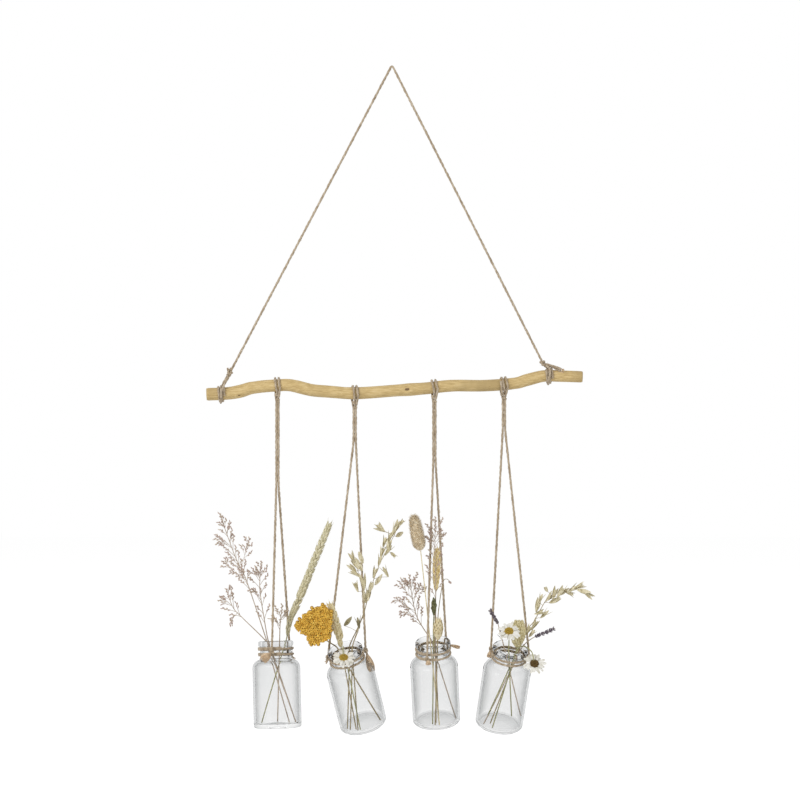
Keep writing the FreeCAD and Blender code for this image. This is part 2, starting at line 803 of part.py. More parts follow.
def yarrow(stem, places, head):
    """A flat-topped head of many small florets on short stalks."""
    crown = stem.at(*head)
    outward = unit(stem.bottle.up * 0.8 - stem.bottle.right * 0.6)
    across = unit(stem.bottle.right - outward * stem.bottle.right.dot(outward))
    other = outward.cross(across)
    half = yarrow_width / 2
    flat = yarrow_depth / yarrow_width
    dome = spindle(
        crown - outward * (yarrow_height * 0.45), crown + outward * (yarrow_height * 0.22), yarrow_width,
        ((0, 0.25), (0.45, 0.7), (0.75, 0.9), (1, 0.8)), across, 10, flat,
    )
    pieces = [stem.along(places), dome]
    for row, count in ((0, 1), (0.42, 7), (0.82, 12)):
        for step in range(count):
            side = turned(FULL_TURN * (step + row) / count, across * half, other * (half * flat)) * row
            foot = crown + side + outward * (yarrow_height * (0.1 - 0.3 * row * row))
            top = foot + outward * (yarrow_floret_width * (1.1 + 0.2 * (step % 2)))
            widths = [yarrow_floret_width * 0.3, yarrow_floret_width * 0.46]
            pieces.append(form([foot, top], widths, across, 5, depth_share=0.8))
    return fused(pieces)


def headed(stem, places, width, shares, sides=8, depth_share=1.0):
    """A stem with one plain head between the last two places."""
    pieces = [stem.along(places[:-1])]
    tip = stem.at(*places[-1])
    base = stem.at(*places[-2])
    base = base - unit(tip - base) * stem_thickness
    pieces.append(spindle(base, tip, width, shares, stem.bottle.right, sides, depth_share))
    return fused(pieces)


def flowers_of_bottle_1(bottle):
    stem = Stem(bottle, (-0.38, -0.17), (0.79, 0.087), tall_sea_lavender_rise)
    line = ((-0.147, 0, 0.48), (-0.23, 0, 0.67), (-0.34, 0, 1.0))
    sprays = ((0.9, -0.20, 0, 0.56), (1.5, -0.117, 0, 0.80), (1.0, -0.324, 0, 0.63), (2.2, -0.37, 0, 0.84))
    sprays = tuple((root / 3, side, depth, up) for root, side, depth, up in sprays)
    yield "sea_lavender_tall", stem, sea_lavender(stem, line, sprays)
    stem = Stem(bottle, (-0.30, 0.02), (0.78, 0.087), mid_sea_lavender_rise)
    sprays = ((0.5, -0.15, 0, 0.66), (0.75, -0.17, 0, 0.92))
    line = ((-0.04, 0, 0.25), (-0.09, 0, 0.68), (-0.06, 0, 1))
    yield "sea_lavender_mid", stem, sea_lavender(stem, line, sprays)
    stem = Stem(bottle, (-0.55, 0.51), (0.47, 0.087), low_sea_lavender_rise)
    sprays = ((0.5, -0.66, 0, 0.46), (0.7, -0.85, 0, 0.80))
    line = ((-0.45, 0, 0.47), (-0.62, 0, 0.67), (-0.73, 0, 1))
    yield "sea_lavender_low", stem, sea_lavender(stem, line, sprays)
    stem = Stem(bottle, (0.27, -0.38), (0, 0.087), short_sprig_rise)
    sprays = ((0.3, -0.10, 0, 0.62), (0.6, 0.18, 0, 0.70))
    yield "short_sprig", stem, sea_lavender(stem, ((0.03, 0, 0.5), (0.10, 0, 0.98)), sprays)
    stem = Stem(bottle, (0.49, 0.31), (-0.73, 0.087), long_wheat_rise)
    line = ((0.04, 0, 0.17), (0.115, 0, 0.34), (0.407, 0, 1.0))
    yield "long_wheat_ear", stem, grass_ear(stem, line, long_wheat_width, 11)


def flowers_of_bottle_2(bottle):
    stem = Stem(bottle, (-0.34, 0.41), (0.70, 0.13), yarrow_rise)
    yield "yarrow", stem, yarrow(stem, ((-0.13, -0.12, 0.2), (-0.24, -0.32, 0.5)), (-0.27, -0.37, 0.66))
    stem = Stem(bottle, (-0.07, -0.55), (-0.13, 0.2), mouth_daisy_rise)
    line = ((0, -0.12, 0.31), (0, -0.50, 0.5), (-0.05, -0.94, 0.34))
    face = unit(Vector(0, -0.94, 0.34))
    yield "mouth_daisy", stem, daisy(stem, line, (-0.09, -1.12, 0.06), face)
    stem = Stem(bottle, (0.41, -0.36), (-0.13, 0.26), single_oat_rise)
    yield "single_oat", stem, oat(stem, ((0.2, 0, 0.32), (0.34, 0, 0.5)), ((0.6, 0.06, 0, 0.55),))
    stem = Stem(bottle, (-0.27, -0.18), (-0.26, 0.43), short_wheat_rise)
    line = ((0.01, 0, 0.2), (0.02, 0, 0.3), (-0.01, 0, 1.0))
    yield "short_wheat_ear", stem, grass_ear(stem, line, short_wheat_width, 5)
    stem = Stem(bottle, (0.41, 0.02), (-0.52, 0.13), left_oat_rise)
    line = ((0.12, 0, 0.2), (0.214, 0, 0.367), (0.24, 0, 0.6), (0.235, 0, 0.86))
    twigs = ((0.52, 0.15, 0, 0.46), (0.56, 0.31, 0, 0.50), (0.62, 0.19, 0, 0.62), (0.75, 0.33, 0, 0.68))
    yield "left_oat", stem, oat(stem, line, twigs)
    spread = stick_length * right_oat_spread_share
    stem = Stem(bottle, (0.21, 0.21), (-0.66, 0.12), right_oat_rise, spread)
    line = ((0.1, 0, 0.13), (0.183, 0, 0.243), (0.296, 0, 0.452), (0.43, 0, 0.66))
    line += ((0.56, 0, 0.82), (0.63, 0, 0.90))
    twigs = ((0.45, 0.42, 0, 0.47), (0.58, 0.47, 0, 0.60), (0.7, 0.57, 0, 0.70), (0.72, 0.41, 0, 0.76))
    yield "right_oat", stem, oat(stem, line, twigs)


def flowers_of_bottle_3(bottle):
    stem = Stem(bottle, (-0.14, -0.49), (0.09, 0.13), bunny_tail_rise)
    line = ((-0.012, 0, 0.25), (-0.026, 0, 0.5), (-0.039, 0, 0.715), (-0.082, 0, 1.0))
    yield "bunny_tail", stem, headed(stem, line, bunny_tail_width, tail_shares, 10)
    stem = Stem(bottle, (0.07, 0.27), (0.56, 0.37), left_sea_lavender_rise)
    line = ((-0.10, 0.02, 0.155), (-0.2, 0.04, 0.36), (-0.25, 0.04, 0.66), (-0.27, 0.04, 0.94))
    sprays = ((0.5, -0.42, 0.04, 0.42), (0.55, -0.48, 0.04, 0.62))
    sprays += ((0.72, -0.42, 0.04, 0.86), (0.7, -0.12, 0.04, 0.80))
    yield "left_sea_lavender", stem, sea_lavender(stem, line, sprays)
    stem = Stem(bottle, (0.14, 0.055), (0.09, 0.2), gold_wheat_rise)
    line = ((0.02, 0.01, 0.3), (0.043, 0.017, 0.56), (0.076, 0.017, 1.0))
    yield "gold_wheat_ear", stem, grass_ear(stem, line, gold_wheat_width, 8)
    stem = Stem(bottle, (0.17, -0.18), (0, 0.24), upright_sea_lavender_rise)
    line = ((0.02, 0, 0.4), (0.03, 0, 0.72), (0.045, 0, 0.97))
    sprays = ((0.68, 0.01, 0, 0.82), (0.75, 0.08, 0, 0.84))
    yield "upright_sea_lavender", stem, sea_lavender(stem, line, sprays)
    stem = Stem(bottle, (0, -0.335), (-0.17, 0.15), green_bud_rise)
    line = ((0.01, -0.01, 0.3), (0.037, -0.024, 0.63), (0.06, -0.024, 1.0))
    yield "green_bud", stem, headed(stem, line, bud_width, bud_shares, 6)
    stem = Stem(bottle, (0.27, -0.65), (0, 0.33), straw_flower_rise)
    line = ((0.01, -0.06, 0.12), (0.02, -0.11, 0.2), (0.08, -0.11, 1.0))
    yield "straw_flower", stem, headed(stem, line, straw_flower_width, toothed(canary_shares, 3, 0.25), 8)
    stem = Stem(bottle, (0.31, 0.48), (0, 0.17), curled_stem_rise)
    line = ((0.03, 0, 0.4), (0.124, 0, 0.9), (0.17, 0, 1.0))
    pieces = [stem.along(line)]
    pieces.append(twig(stem.at(0.165, 0, 0.995), stem.at(0.26, 0, 0.95)))
    blob = stem.at(0.26, 0, 0.95)
    rise = UP * (floret_width / 2)
    pieces.append(spindle(blob - rise, blob + rise, floret_width, floret_shares, RIGHT, 6))
    yield "curled_stem", stem, fused(pieces)


def flowers_of_bottle_4(bottle):
    face = unit(Vector(0, -0.93, 0.36))
    stem = Stem(bottle, (0, -0.6), (0.39, 0.33), left_daisy_rise)
    line = ((-0.03, -0.1, 0.3), (-0.08, -0.28, 0.7))
    yield "left_daisy", stem, daisy(stem, line, (-0.125, -0.47, 1.0), face)
    stem = Stem(bottle, (0.30, -0.42), (-0.52, 0.26), right_daisy_rise)
    line = ((0.1, -0.1, 0.25), (0.45, -0.42, 0.44), (0.9, -0.85, 0.3))
    yield "right_daisy", stem, daisy(stem, line, (1.14, -1.0, -0.36), unit(Vector(0.12, -0.95, 0.3)))
    stem = Stem(bottle, (0.34, -0.27), (-0.26, 0.13), canary_rise)
    pieces = [stem.along(((0, 0.03, 0.06),))]
    base, tip = stem.at(0, 0.05, 0.02), stem.at(-0.06, 0.053, 1.0)
    depth_share = canary_ear_depth / canary_ear_width
    rows = toothed(canary_shares, 6, 0.12)
    pieces.append(spindle(base, tip, canary_ear_width, rows, bottle.right, 8, depth_share))
    yield "canary_grass_ear", stem, fused(pieces)
    stem = Stem(bottle, (0.59, 0.10), (-0.58, 0.15), right_lavender_rise)
    line = ((0.2, -0.06, 0.3), (0.45, -0.135, 0.55), (1.215, -0.135, 1.0))
    yield "right_lavender", stem, grass_ear(stem, line, lavender_width, 5)
    stem = Stem(bottle, (0.55, 0.22), (-0.39, 0.087), arched_oat_rise)
    line = ((0.045, 0, 0.22), (0.137, 0, 0.37), (0.20, 0, 0.54), (0.295, 0, 0.737))
    line += ((0.48, 0, 0.855), (0.60, 0, 0.90))
    twigs = ((0.68, 0.23, 0, 0.80), (0.8, 0.52, 0, 0.74), (0.86, 0.58, 0, 0.97), (0.97, 0.76, 0, 0.82))
    yield "arched_oat", stem, oat(stem, line, twigs)
    stem = Stem(bottle, (-0.25, 0.36), (0.39, 0.52), left_lavender_rise)
    line = ((-0.15, -0.02, 0.35), (-0.24, -0.04, 0.6), (-0.556, -0.04, 1.0))
    yield "left_lavender", stem, grass_ear(stem, line, lavender_width, 4)


def hanger():
    """The twine from the left knot over the nail to the right knot, with both knots."""
    left = Vector(-left_knot_side, 0, left_knot_rise - stick_drop)
    right = Vector(right_knot_side, 0, right_knot_rise - stick_drop)
    bend = (nail_diameter + twine_diameter) / 2
    slant = math.atan2((left_knot_side + right_knot_side) / 2, stick_drop)
    apex = Vector(0, 0, twine_diameter / 2 - bend + bend / math.sin(slant))
    ways = []
    for place, name in ((left, "left"), (right, "right")):
        way = unit(apex - place)
        save("hanger_knot_" + name, knot(place, way, hanger_knot_radius, hanger_knot_length))
        ways.append(way)
    start = left + ways[0] * (hanger_knot_length / 2)
    end = right + ways[1] * (hanger_knot_length / 2)
    save("hanger_twine", twine(route_edges([start, apex, end], "hanger_twine", bend)))
    return left, right


os.makedirs("parts", exist_ok=True)
knot_left, knot_right = hanger()
save("stick", stick())
end_tie("end_tie_left", left_tie_share, knot_left)
end_tie("end_tie_right", right_tie_share, knot_right)
glass = bottle_glass()
stems = {}
flower_makers = (flowers_of_bottle_1, flowers_of_bottle_2, flowers_of_bottle_3, flowers_of_bottle_4)
frames = {}
for number, values in bottles.items():
    vase = Bottle(number, **values)
    frames[number] = vase
    hitch("hitch_%d" % number, vase.share, vase.pivot, hitch_knot_radius)
    save("hitch_knot_%d" % number, knot(vase.pivot, RIGHT, hitch_knot_radius, hitch_knot_length))
    save("bottle_%d" % number, vase.placed(glass.copy()))
    neck_tie(vase, *sling(vase))
    for flower_name, flower_stem, flower_shape in flower_makers[number - 1](vase):
        stems[flower_name] = flower_stem
        save(flower_name, flower_shape)
print(len(solids), "nodes")
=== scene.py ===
import random
from math import acos, atan2, cos, degrees, exp, hypot, log, pi, radians, sin, sqrt
import bpy
from mathutils import Matrix, Vector


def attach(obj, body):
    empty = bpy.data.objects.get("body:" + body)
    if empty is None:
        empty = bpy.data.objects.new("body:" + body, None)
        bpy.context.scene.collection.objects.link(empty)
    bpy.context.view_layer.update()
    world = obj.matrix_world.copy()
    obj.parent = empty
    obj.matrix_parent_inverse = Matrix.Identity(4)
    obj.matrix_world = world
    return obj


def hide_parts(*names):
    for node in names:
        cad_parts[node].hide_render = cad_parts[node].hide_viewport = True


# Dresses the hanging bud vases. Places are worked out in millimetres from the same sizes as the
# solids, and every mesh is made in metres.

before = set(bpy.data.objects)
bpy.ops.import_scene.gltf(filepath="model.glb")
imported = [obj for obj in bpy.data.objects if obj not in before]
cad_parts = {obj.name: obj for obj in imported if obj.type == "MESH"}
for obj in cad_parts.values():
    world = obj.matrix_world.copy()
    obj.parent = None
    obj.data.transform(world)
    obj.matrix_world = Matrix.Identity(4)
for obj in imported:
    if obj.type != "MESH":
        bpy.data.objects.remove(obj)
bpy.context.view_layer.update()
random.seed(7)
between = random.uniform

MM = 0.001
UP = Vector((0, 0, 1))
BACK = Vector((0, 1, 0))
RIGHT = Vector((1, 0, 0))
FULL_TURN = 360.0
HALF_TURN = 180.0
QUARTER_TURN = 90.0
TINY = 1e-9
GOLDEN_ANGLE = 137.508

# The camera, and what a pixel of the 800 by 800 front view spans in the nail's plane
camera_across = 8.51
camera_distance = 2400.0
camera_height = -351.1
view_middle = 400
pixel_size = 1.0638

# Sizes of the object
twine_diameter = 2.4
seat_gap = 0.3
nail_diameter = 4.0
stick_length = 400.0
stick_left_thickness = 13.4
stick_right_thickness = 12.2
stick_drop = 343.4
stick_left_overhang = 197.3
hanger_knot_length = 6.6
left_knot = Vector((-173.1, 0, 20.2 - stick_drop))
right_knot = Vector((160.6, 0, 31.4 - stick_drop))
hitch_knot_radius = 3.0
hitch_knot_drop = 14.2
left_tie_share = 0.040
right_tie_share = 0.912
bottle_height = 92.0
bottle_radius = 25.5
bottle_wall = 2.2
neck_radius = 16.8
neck_length = 10.6
rim_radius = 18.8
rim_height = 6.0
shoulder_round = 9.0
neck_root_round = 3.5
base_round = 3.2
base_ring_width = 3.5
base_thickness = 4.0
base_push_up = 2.4
neck_knot_radius = 2.6
neck_knot_length = 5.4
rim_bend_room = 0.5
neck_knot_room = 0.05
stem_thickness = 1.3
neck_root = bottle_height - rim_height - neck_length
neck_middle = neck_root + neck_length / 2
inner_radius = bottle_radius - bottle_wall
inside_round = base_round - bottle_wall / 2
neck_inner_radius = neck_radius - bottle_wall

stick_line_shares = (
    (0.000, 0.000, -0.0040),
    (0.057, 0.002, -0.0013),
    (0.089, 0.003, 0.0040),
    (0.121, 0.003, 0.0133),
    (0.185, 0.000, 0.0194),
    (0.222, -0.002, 0.0199),
    (0.281, -0.004, 0.0066),
    (0.328, -0.003, 0.0027),
    (0.382, 0.000, -0.0013),
    (0.424, 0.002, 0.0000),
    (0.504, 0.003, 0.0061),
    (0.584, 0.001, 0.0120),
    (0.648, -0.001, 0.0186),
    (0.743, -0.002, 0.0191),
    (0.823, 0.001, 0.0253),
    (0.855, 0.003, 0.0346),
    (0.898, 0.003, 0.0444),
    (0.951, 0.001, 0.0439),
    (1.000, 0.000, 0.0423),
)
stick_swell_shares = ((0.09, 0.04), (0.25, 0.03), (0.36, -0.02), (0.54, 0.07), (0.86, 0.05))

# Each bottle: its place along the stick, lean to the side and tip to the front in degrees, the offset
# of its middle from the knot it hangs from, the slope of its sheet of stems, the angles of its neck
# knots, how far down its legs part, and how its two bands of neck twine stand apart and rise
bottles = {
    1: dict(share=0.1885, lean=-1.65, tip=-5.0, offset=(-0.75, 0.55, -303.8), stem_share=-0.28,
            knots=(-98.0, 52.0), split_share=0.34, band_spread=3.0, band_slope=1.3),
    2: dict(share=0.394, lean=-13.0, tip=20.0, offset=(-0.6, -1.54, -297.5), stem_share=0.61,
            knots=(155.0, 22.0), split_share=0.14, band_spread=2.4, band_slope=0.9),
    3: dict(share=0.606, lean=-2.9, tip=16.0, offset=(0.35, -0.52, -298.6), stem_share=0.52,
            knots=(-108.0, 50.0), split_share=0.24, band_spread=2.9, band_slope=0.8),
    4: dict(share=0.791, lean=7.4, tip=20.0, offset=(0.62, -2.29, -305.9), stem_share=0.61,
            knots=(150.0, 15.0), split_share=0.12, band_spread=2.0, band_slope=0.8),
}


# Directions and lines

def turned(angle, first, second):
    """A direction at an angle in degrees from first towards second."""
    return first * cos(radians(angle)) + second * sin(radians(angle))


def angles_round(count):
    """Even angles once round."""
    return [FULL_TURN * k / count for k in range(count)]


def any_turn(first, second):
    """A direction at a random angle from first towards second."""
    return turned(between(0, FULL_TURN), first, second)


def square_to(way, side):
    """The unit direction nearest to side that is square to a way."""
    return (side - way * side.dot(way)).normalized()


def crosswise(way):
    """Two unit directions square to a way."""
    side = way.cross(UP if abs(way.z) < 0.9 else BACK).normalized()
    return side, way.cross(side).normalized()


def shares_in(count):
    """Even shares from 0 to 1, in this many steps."""
    return [k / count for k in range(count + 1)]


def run_of(start, end):
    """The unit direction and the length from start to end."""
    return (end - start).normalized(), (end - start).length


def frames_along(line):
    """Each point of a line, the way there and two directions square to it that don't spin."""
    way = (line[1] - line[0]).normalized()
    side, _ = crosswise(way)
    for k, place in enumerate(line):
        ahead = line[min(k + 1, len(line) - 1)] - line[max(k - 1, 0)]
        if ahead.length > TINY:
            way = ahead.normalized()
        side = square_to(way, side)
        yield place, way, side, way.cross(side)


def smooth_line(points, spacing=0.8):
    """Points at about an even spacing on a smooth line through these points."""
    fine = []
    last = len(points) - 1
    for k in range(last):
        a, b, c, d = (points[min(max(k + j, 0), last)] for j in (-1, 0, 1, 2))
        steps = max(int((c - b).length / spacing), 1)
        for t in (step / steps for step in range(steps)):
            square = (2 * a - 5 * b + 4 * c - d) * t * t
            fine.append(0.5 * (2 * b + (c - a) * t + square + (3 * b - a - 3 * c + d) * t ** 3))
    return fine + [points[-1]]


def bent(start, end, sag, spacing=1.5):
    """A thin bowed line between two places."""
    return smooth_line([start, (start + end) / 2 + sag, end], spacing)


def spaced(line, spacing=0.8):
    """The same line with its points at an even spacing."""
    out = [line[0]]
    left = spacing
    for a, b in zip(line, line[1:]):
        run = (b - a).length
        done = 0.0
        while run - done >= left:
            done += left
            out.append(a + (b - a) * (done / run))
            left = spacing
        left -= run - done
    if (out[-1] - line[-1]).length > spacing * 0.3:
        out.append(line[-1])
    return out


def on_line(line, share):
    """A place and direction at a share of a line's points."""
    run = min(max(share, 0), 1) * (len(line) - 1)
    index = min(int(run), len(line) - 2)
    a, b = line[index], line[index + 1]
    return a + (b - a) * (run - index), (b - a).normalized()


def seen(across, down, depth):
    """A place from where it shows in the front view, at a depth behind the nail's plane."""
    scale = pixel_size * (camera_distance + depth) / camera_distance
    right, up = (across - view_middle) * scale, (view_middle - down) * scale
    return Vector((camera_across + right, depth, camera_height + up))


# Materials

class Look:
    """A new material, its shader and helpers that add nodes."""

    def __init__(self, name):
        self.material = bpy.data.materials.new(name)
        self.material.use_nodes = True
        self.tree = self.material.node_tree
        self.shader = self.tree.nodes["Principled BSDF"]

    def give(self, socket, value):
        """Link an input to an output, or set it to a constant."""
        if isinstance(value, bpy.types.NodeSocket):
            self.tree.links.new(value, socket)
        else:
            socket.default_value = value

    def feed(self, node, **inputs):
        """Give a node's inputs their values; a name's blanks are written as underscores."""
        for name, value in inputs.items():
            self.give(node.inputs[name.replace("_", " ")], value)
        return node

    def add(self, kind, **inputs):
        """A new shader node whose inputs have these values."""
        return self.feed(self.tree.nodes.new("ShaderNode" + kind), **inputs)

    def place(self):
        """The object's own coordinates."""
        return self.add("TexCoord").outputs["Object"]

    def ramp(self, factor, stops):
        """A colour ramp over a factor; each stop is (place, colour)."""
        node = self.add("ValToRGB", Fac=factor)
        elements = node.color_ramp.elements
        while len(elements) < len(stops):
            elements.new(0.5)
        for element, (place, colour) in zip(elements, stops):
            element.position = place
            element.color = (*colour, 1)
        return node.outputs["Color"]

    def mix(self, factor, first, second, blend="MIX"):
        """Two colours mixed by a factor."""
        node = self.add("Mix")
        node.data_type = "RGBA"
        node.blend_type = blend
        for index, value in ((0, factor), (6, first), (7, second)):
            self.give(node.inputs[index], value)
        return node.outputs[2]

    def bump(self, height, strength, distance=0.0004):
        """Let a height shape the shader's normal."""
        node = self.add("Bump", Height=height, Strength=strength, Distance=distance)
        self.feed(self.shader, Normal=node.outputs["Normal"])


def matt_material(name, scale, roughness, depth, *tones):
    """A matt natural material whose colour wanders between a few tones."""
    look = Look(name)
    stretch = (1, 1, long_fibres.get(name, 1))
    grain = look.add("Mapping", Vector=look.place(), Scale=stretch).outputs["Vector"]
    noise = look.add("TexNoise", Vector=grain, Scale=scale, Detail=6.0, Roughness=0.6)
    stops = [(0.3 + 0.4 * k / (len(tones) - 1), tone) for k, tone in enumerate(tones)]
    colour = look.ramp(noise.outputs["Fac"], stops)
    look.feed(look.shader, Base_Color=colour, Roughness=roughness, Sheen_Weight=downy.get(name, 0.0))
    fine = look.add("TexNoise", Vector=grain, Scale=scale * 4, Detail=4.0)
    look.bump(fine.outputs["Fac"], depth)
    return look.material


def stick_material():
    """Peeled wood: long fibres, yellow-tan with browner stretches and dark specks."""
    look = Look("stick")
    place = look.place()
    grain = look.add("Mapping", Vector=place, Scale=(1, 9, 9)).outputs["Vector"]
    fibres = look.add("TexNoise", Vector=grain, Scale=90.0, Detail=8.0, Roughness=0.65).outputs["Fac"]
    tone = look.ramp(fibres, (
        (0.30, (0.43, 0.29, 0.115)), (0.48, (0.60, 0.435, 0.185)),
        (0.62, (0.70, 0.53, 0.26)), (0.8, (0.79, 0.64, 0.39)),
    ))
    patches = look.add("TexNoise", Vector=place, Scale=22.0, Detail=3.0).outputs["Fac"]
    patchy = look.ramp(patches, ((0.52, (0, 0, 0)), (0.68, (1, 1, 1))))
    browner = look.mix(patchy, tone, (0.46, 0.33, 0.14, 1))
    specks = look.add("TexVoronoi", Vector=grain, Scale=70.0).outputs["Distance"]
    speckled = look.ramp(specks, ((0.05, (0.55, 0.55, 0.55)), (0.12, (0, 0, 0))))
    look.feed(look.shader, Base_Color=look.mix(speckled, browner, (0.25, 0.15, 0.06, 1)), Roughness=0.62)
    look.bump(fibres, 0.5, 0.0006)
    return look.material


def glass_material(name, ior, middle, side):
    """Clear glass whose colour is painted greyer where the surface turns away from the view: painted shade
    for the dark edges of glass.
    """
    look = Look(name)
    # Painted shade: the ramp over Facing greys the glass towards its silhouette, standing in for the dark
    # edges that refraction and reflection give
    facing = look.add("LayerWeight", Blend=0.5).outputs["Facing"]
    painted_edge_shade = middle - side
    edge = look.ramp(facing, [
        (place, [middle - painted_edge_shade * share + cool * share for cool in (0.0, 0.01, 0.01)])
        for place, share in ((0.0, 0.0), (0.25, 0.03), (0.5, 0.42), (0.75, 0.8), (0.95, 1.0))
    ])
    cloud = look.add("TexNoise", Vector=look.place(), Scale=40.0, Detail=2.0).outputs["Fac"]
    tint = look.ramp(cloud, ((0.3, (0.975, 0.98, 0.98)), (0.7, (1.0, 1.0, 1.0))))
    colour = look.mix(1.0, edge, tint, "MULTIPLY")
    look.feed(look.shader, Base_Color=colour, Transmission_Weight=1.0, Roughness=0.0, IOR=ior)
    return look.material


# Each matt look: slot, scale of its mottling, roughness, bump and its tones from dark to light
matt_looks = {
    "twine": ("jute_twine", 500, 0.92, 0.8, (0.29, 0.215, 0.14), (0.46, 0.365, 0.25), (0.62, 0.53, 0.405)),
    "fuzz": ("jute_twine", 500, 0.9, 0.1, (0.45, 0.34, 0.22), (0.66, 0.53, 0.38)),
    "frayed": ("jute_twine", 700, 0.9, 0.5, (0.62, 0.45, 0.28), (0.86, 0.68, 0.48)),
    "stick end": ("peeled_wood", 500, 0.8, 0.5, (0.60, 0.46, 0.25), (0.78, 0.64, 0.40)),
    "scar": ("peeled_wood", 700, 0.9, 0.9, (0.11, 0.065, 0.03), (0.30, 0.19, 0.09)),
    "stem": ("dry_stem", 260, 0.8, 0.4, (0.27, 0.21, 0.11), (0.50, 0.41, 0.24)),
    "green stem": ("dry_stem", 260, 0.8, 0.4, (0.27, 0.27, 0.12), (0.47, 0.45, 0.24)),
    "grey stem": ("sea_lavender", 260, 0.85, 0.4, (0.40, 0.32, 0.24), (0.62, 0.52, 0.42)),
    "floret": ("sea_lavender", 500, 0.95, 0.3, (0.34, 0.235, 0.20), (0.53, 0.40, 0.34), (0.73, 0.61, 0.54)),
    "pale floret": ("sea_lavender", 500, 0.95, 0.3, (0.52, 0.42, 0.32), (0.74, 0.64, 0.52)),
    "wheat": ("wheat", 420, 0.75, 0.5, (0.54, 0.45, 0.22), (0.77, 0.67, 0.41), (0.88, 0.80, 0.56)),
    "green wheat": (
        "green_wheat", 420, 0.75, 0.5, (0.44, 0.40, 0.21), (0.65, 0.60, 0.40), (0.84, 0.79, 0.60),
    ),
    "gold wheat": ("wheat", 420, 0.75, 0.5, (0.60, 0.42, 0.15), (0.88, 0.72, 0.36), (0.97, 0.86, 0.56)),
    "oat": ("oat", 320, 0.7, 0.3, (0.44, 0.38, 0.20), (0.69, 0.62, 0.41), (0.88, 0.82, 0.63)),
    "dark oat": ("oat", 320, 0.7, 0.3, (0.20, 0.17, 0.08), (0.40, 0.35, 0.20)),
    "bunny": ("bunny_tail", 420, 1.0, 0.2, (0.47, 0.36, 0.20), (0.74, 0.61, 0.41), (0.95, 0.87, 0.70)),
    "yarrow": ("yarrow", 600, 0.9, 0.8, (0.58, 0.32, 0.035), (0.88, 0.55, 0.08), (0.98, 0.74, 0.20)),
    # The yarrow core is painted shade: darker beads deep in the head, seen through the gaps between florets
    "yarrow core": ("yarrow", 600, 0.95, 0.8, (0.40, 0.22, 0.03), (0.58, 0.34, 0.05)),
    "petal": ("daisy", 300, 0.8, 0.4, (0.60, 0.57, 0.48), (0.82, 0.80, 0.73), (0.92, 0.91, 0.87)),
    "disk": ("daisy", 900, 0.9, 0.9, (0.42, 0.27, 0.03), (0.68, 0.49, 0.09)),
    "dark disk": ("daisy", 900, 0.9, 0.9, (0.07, 0.04, 0.015), (0.27, 0.17, 0.05)),
    "canary": ("canary_grass", 420, 0.75, 0.4, (0.40, 0.33, 0.14), (0.63, 0.55, 0.31), (0.83, 0.77, 0.54)),
    "lavender": ("lavender", 500, 0.9, 0.4, (0.075, 0.06, 0.085), (0.17, 0.14, 0.17), (0.28, 0.24, 0.25)),
    "bud": ("green_bud", 420, 0.85, 0.5, (0.09, 0.095, 0.035), (0.22, 0.21, 0.10)),
    "straw": ("straw_flower", 420, 0.7, 0.4, (0.70, 0.58, 0.32), (0.93, 0.85, 0.61)),
}
# Refraction, and how much light the glass lets through seen straight on and at its sides; the lower value at
# the sides is painted edge shade
glass_looks = {"glass": (1.2, 0.88, 0.34), "glass rim": (1.13, 0.87, 0.30), "glass base": (1.12, 0.88, 0.42)}
# Looks whose mottling is drawn out along the height, as a share of its scale, and the downy looks
long_fibres = {"twine": 0.3, "stem": 0.2, "green stem": 0.2, "grey stem": 0.2, "oat": 0.3}
downy = {"twine": 0.2, "bunny": 0.4}
slots = {name: slot for name, (slot, *_) in matt_looks.items()}
materials = {name: matt_material(name, *values) for name, (_, *values) in matt_looks.items()}
slots["stick"] = "peeled_wood"
materials["stick"] = stick_material()
for name, optics in glass_looks.items():
    slots[name] = "clear_glass"
    materials[name] = glass_material(name, *optics)


# Mesh pieces

def set_down(name, data):
    """A new object in the scene."""
    thing = bpy.data.objects.new(name, data)
    bpy.context.scene.collection.objects.link(thing)
    return thing


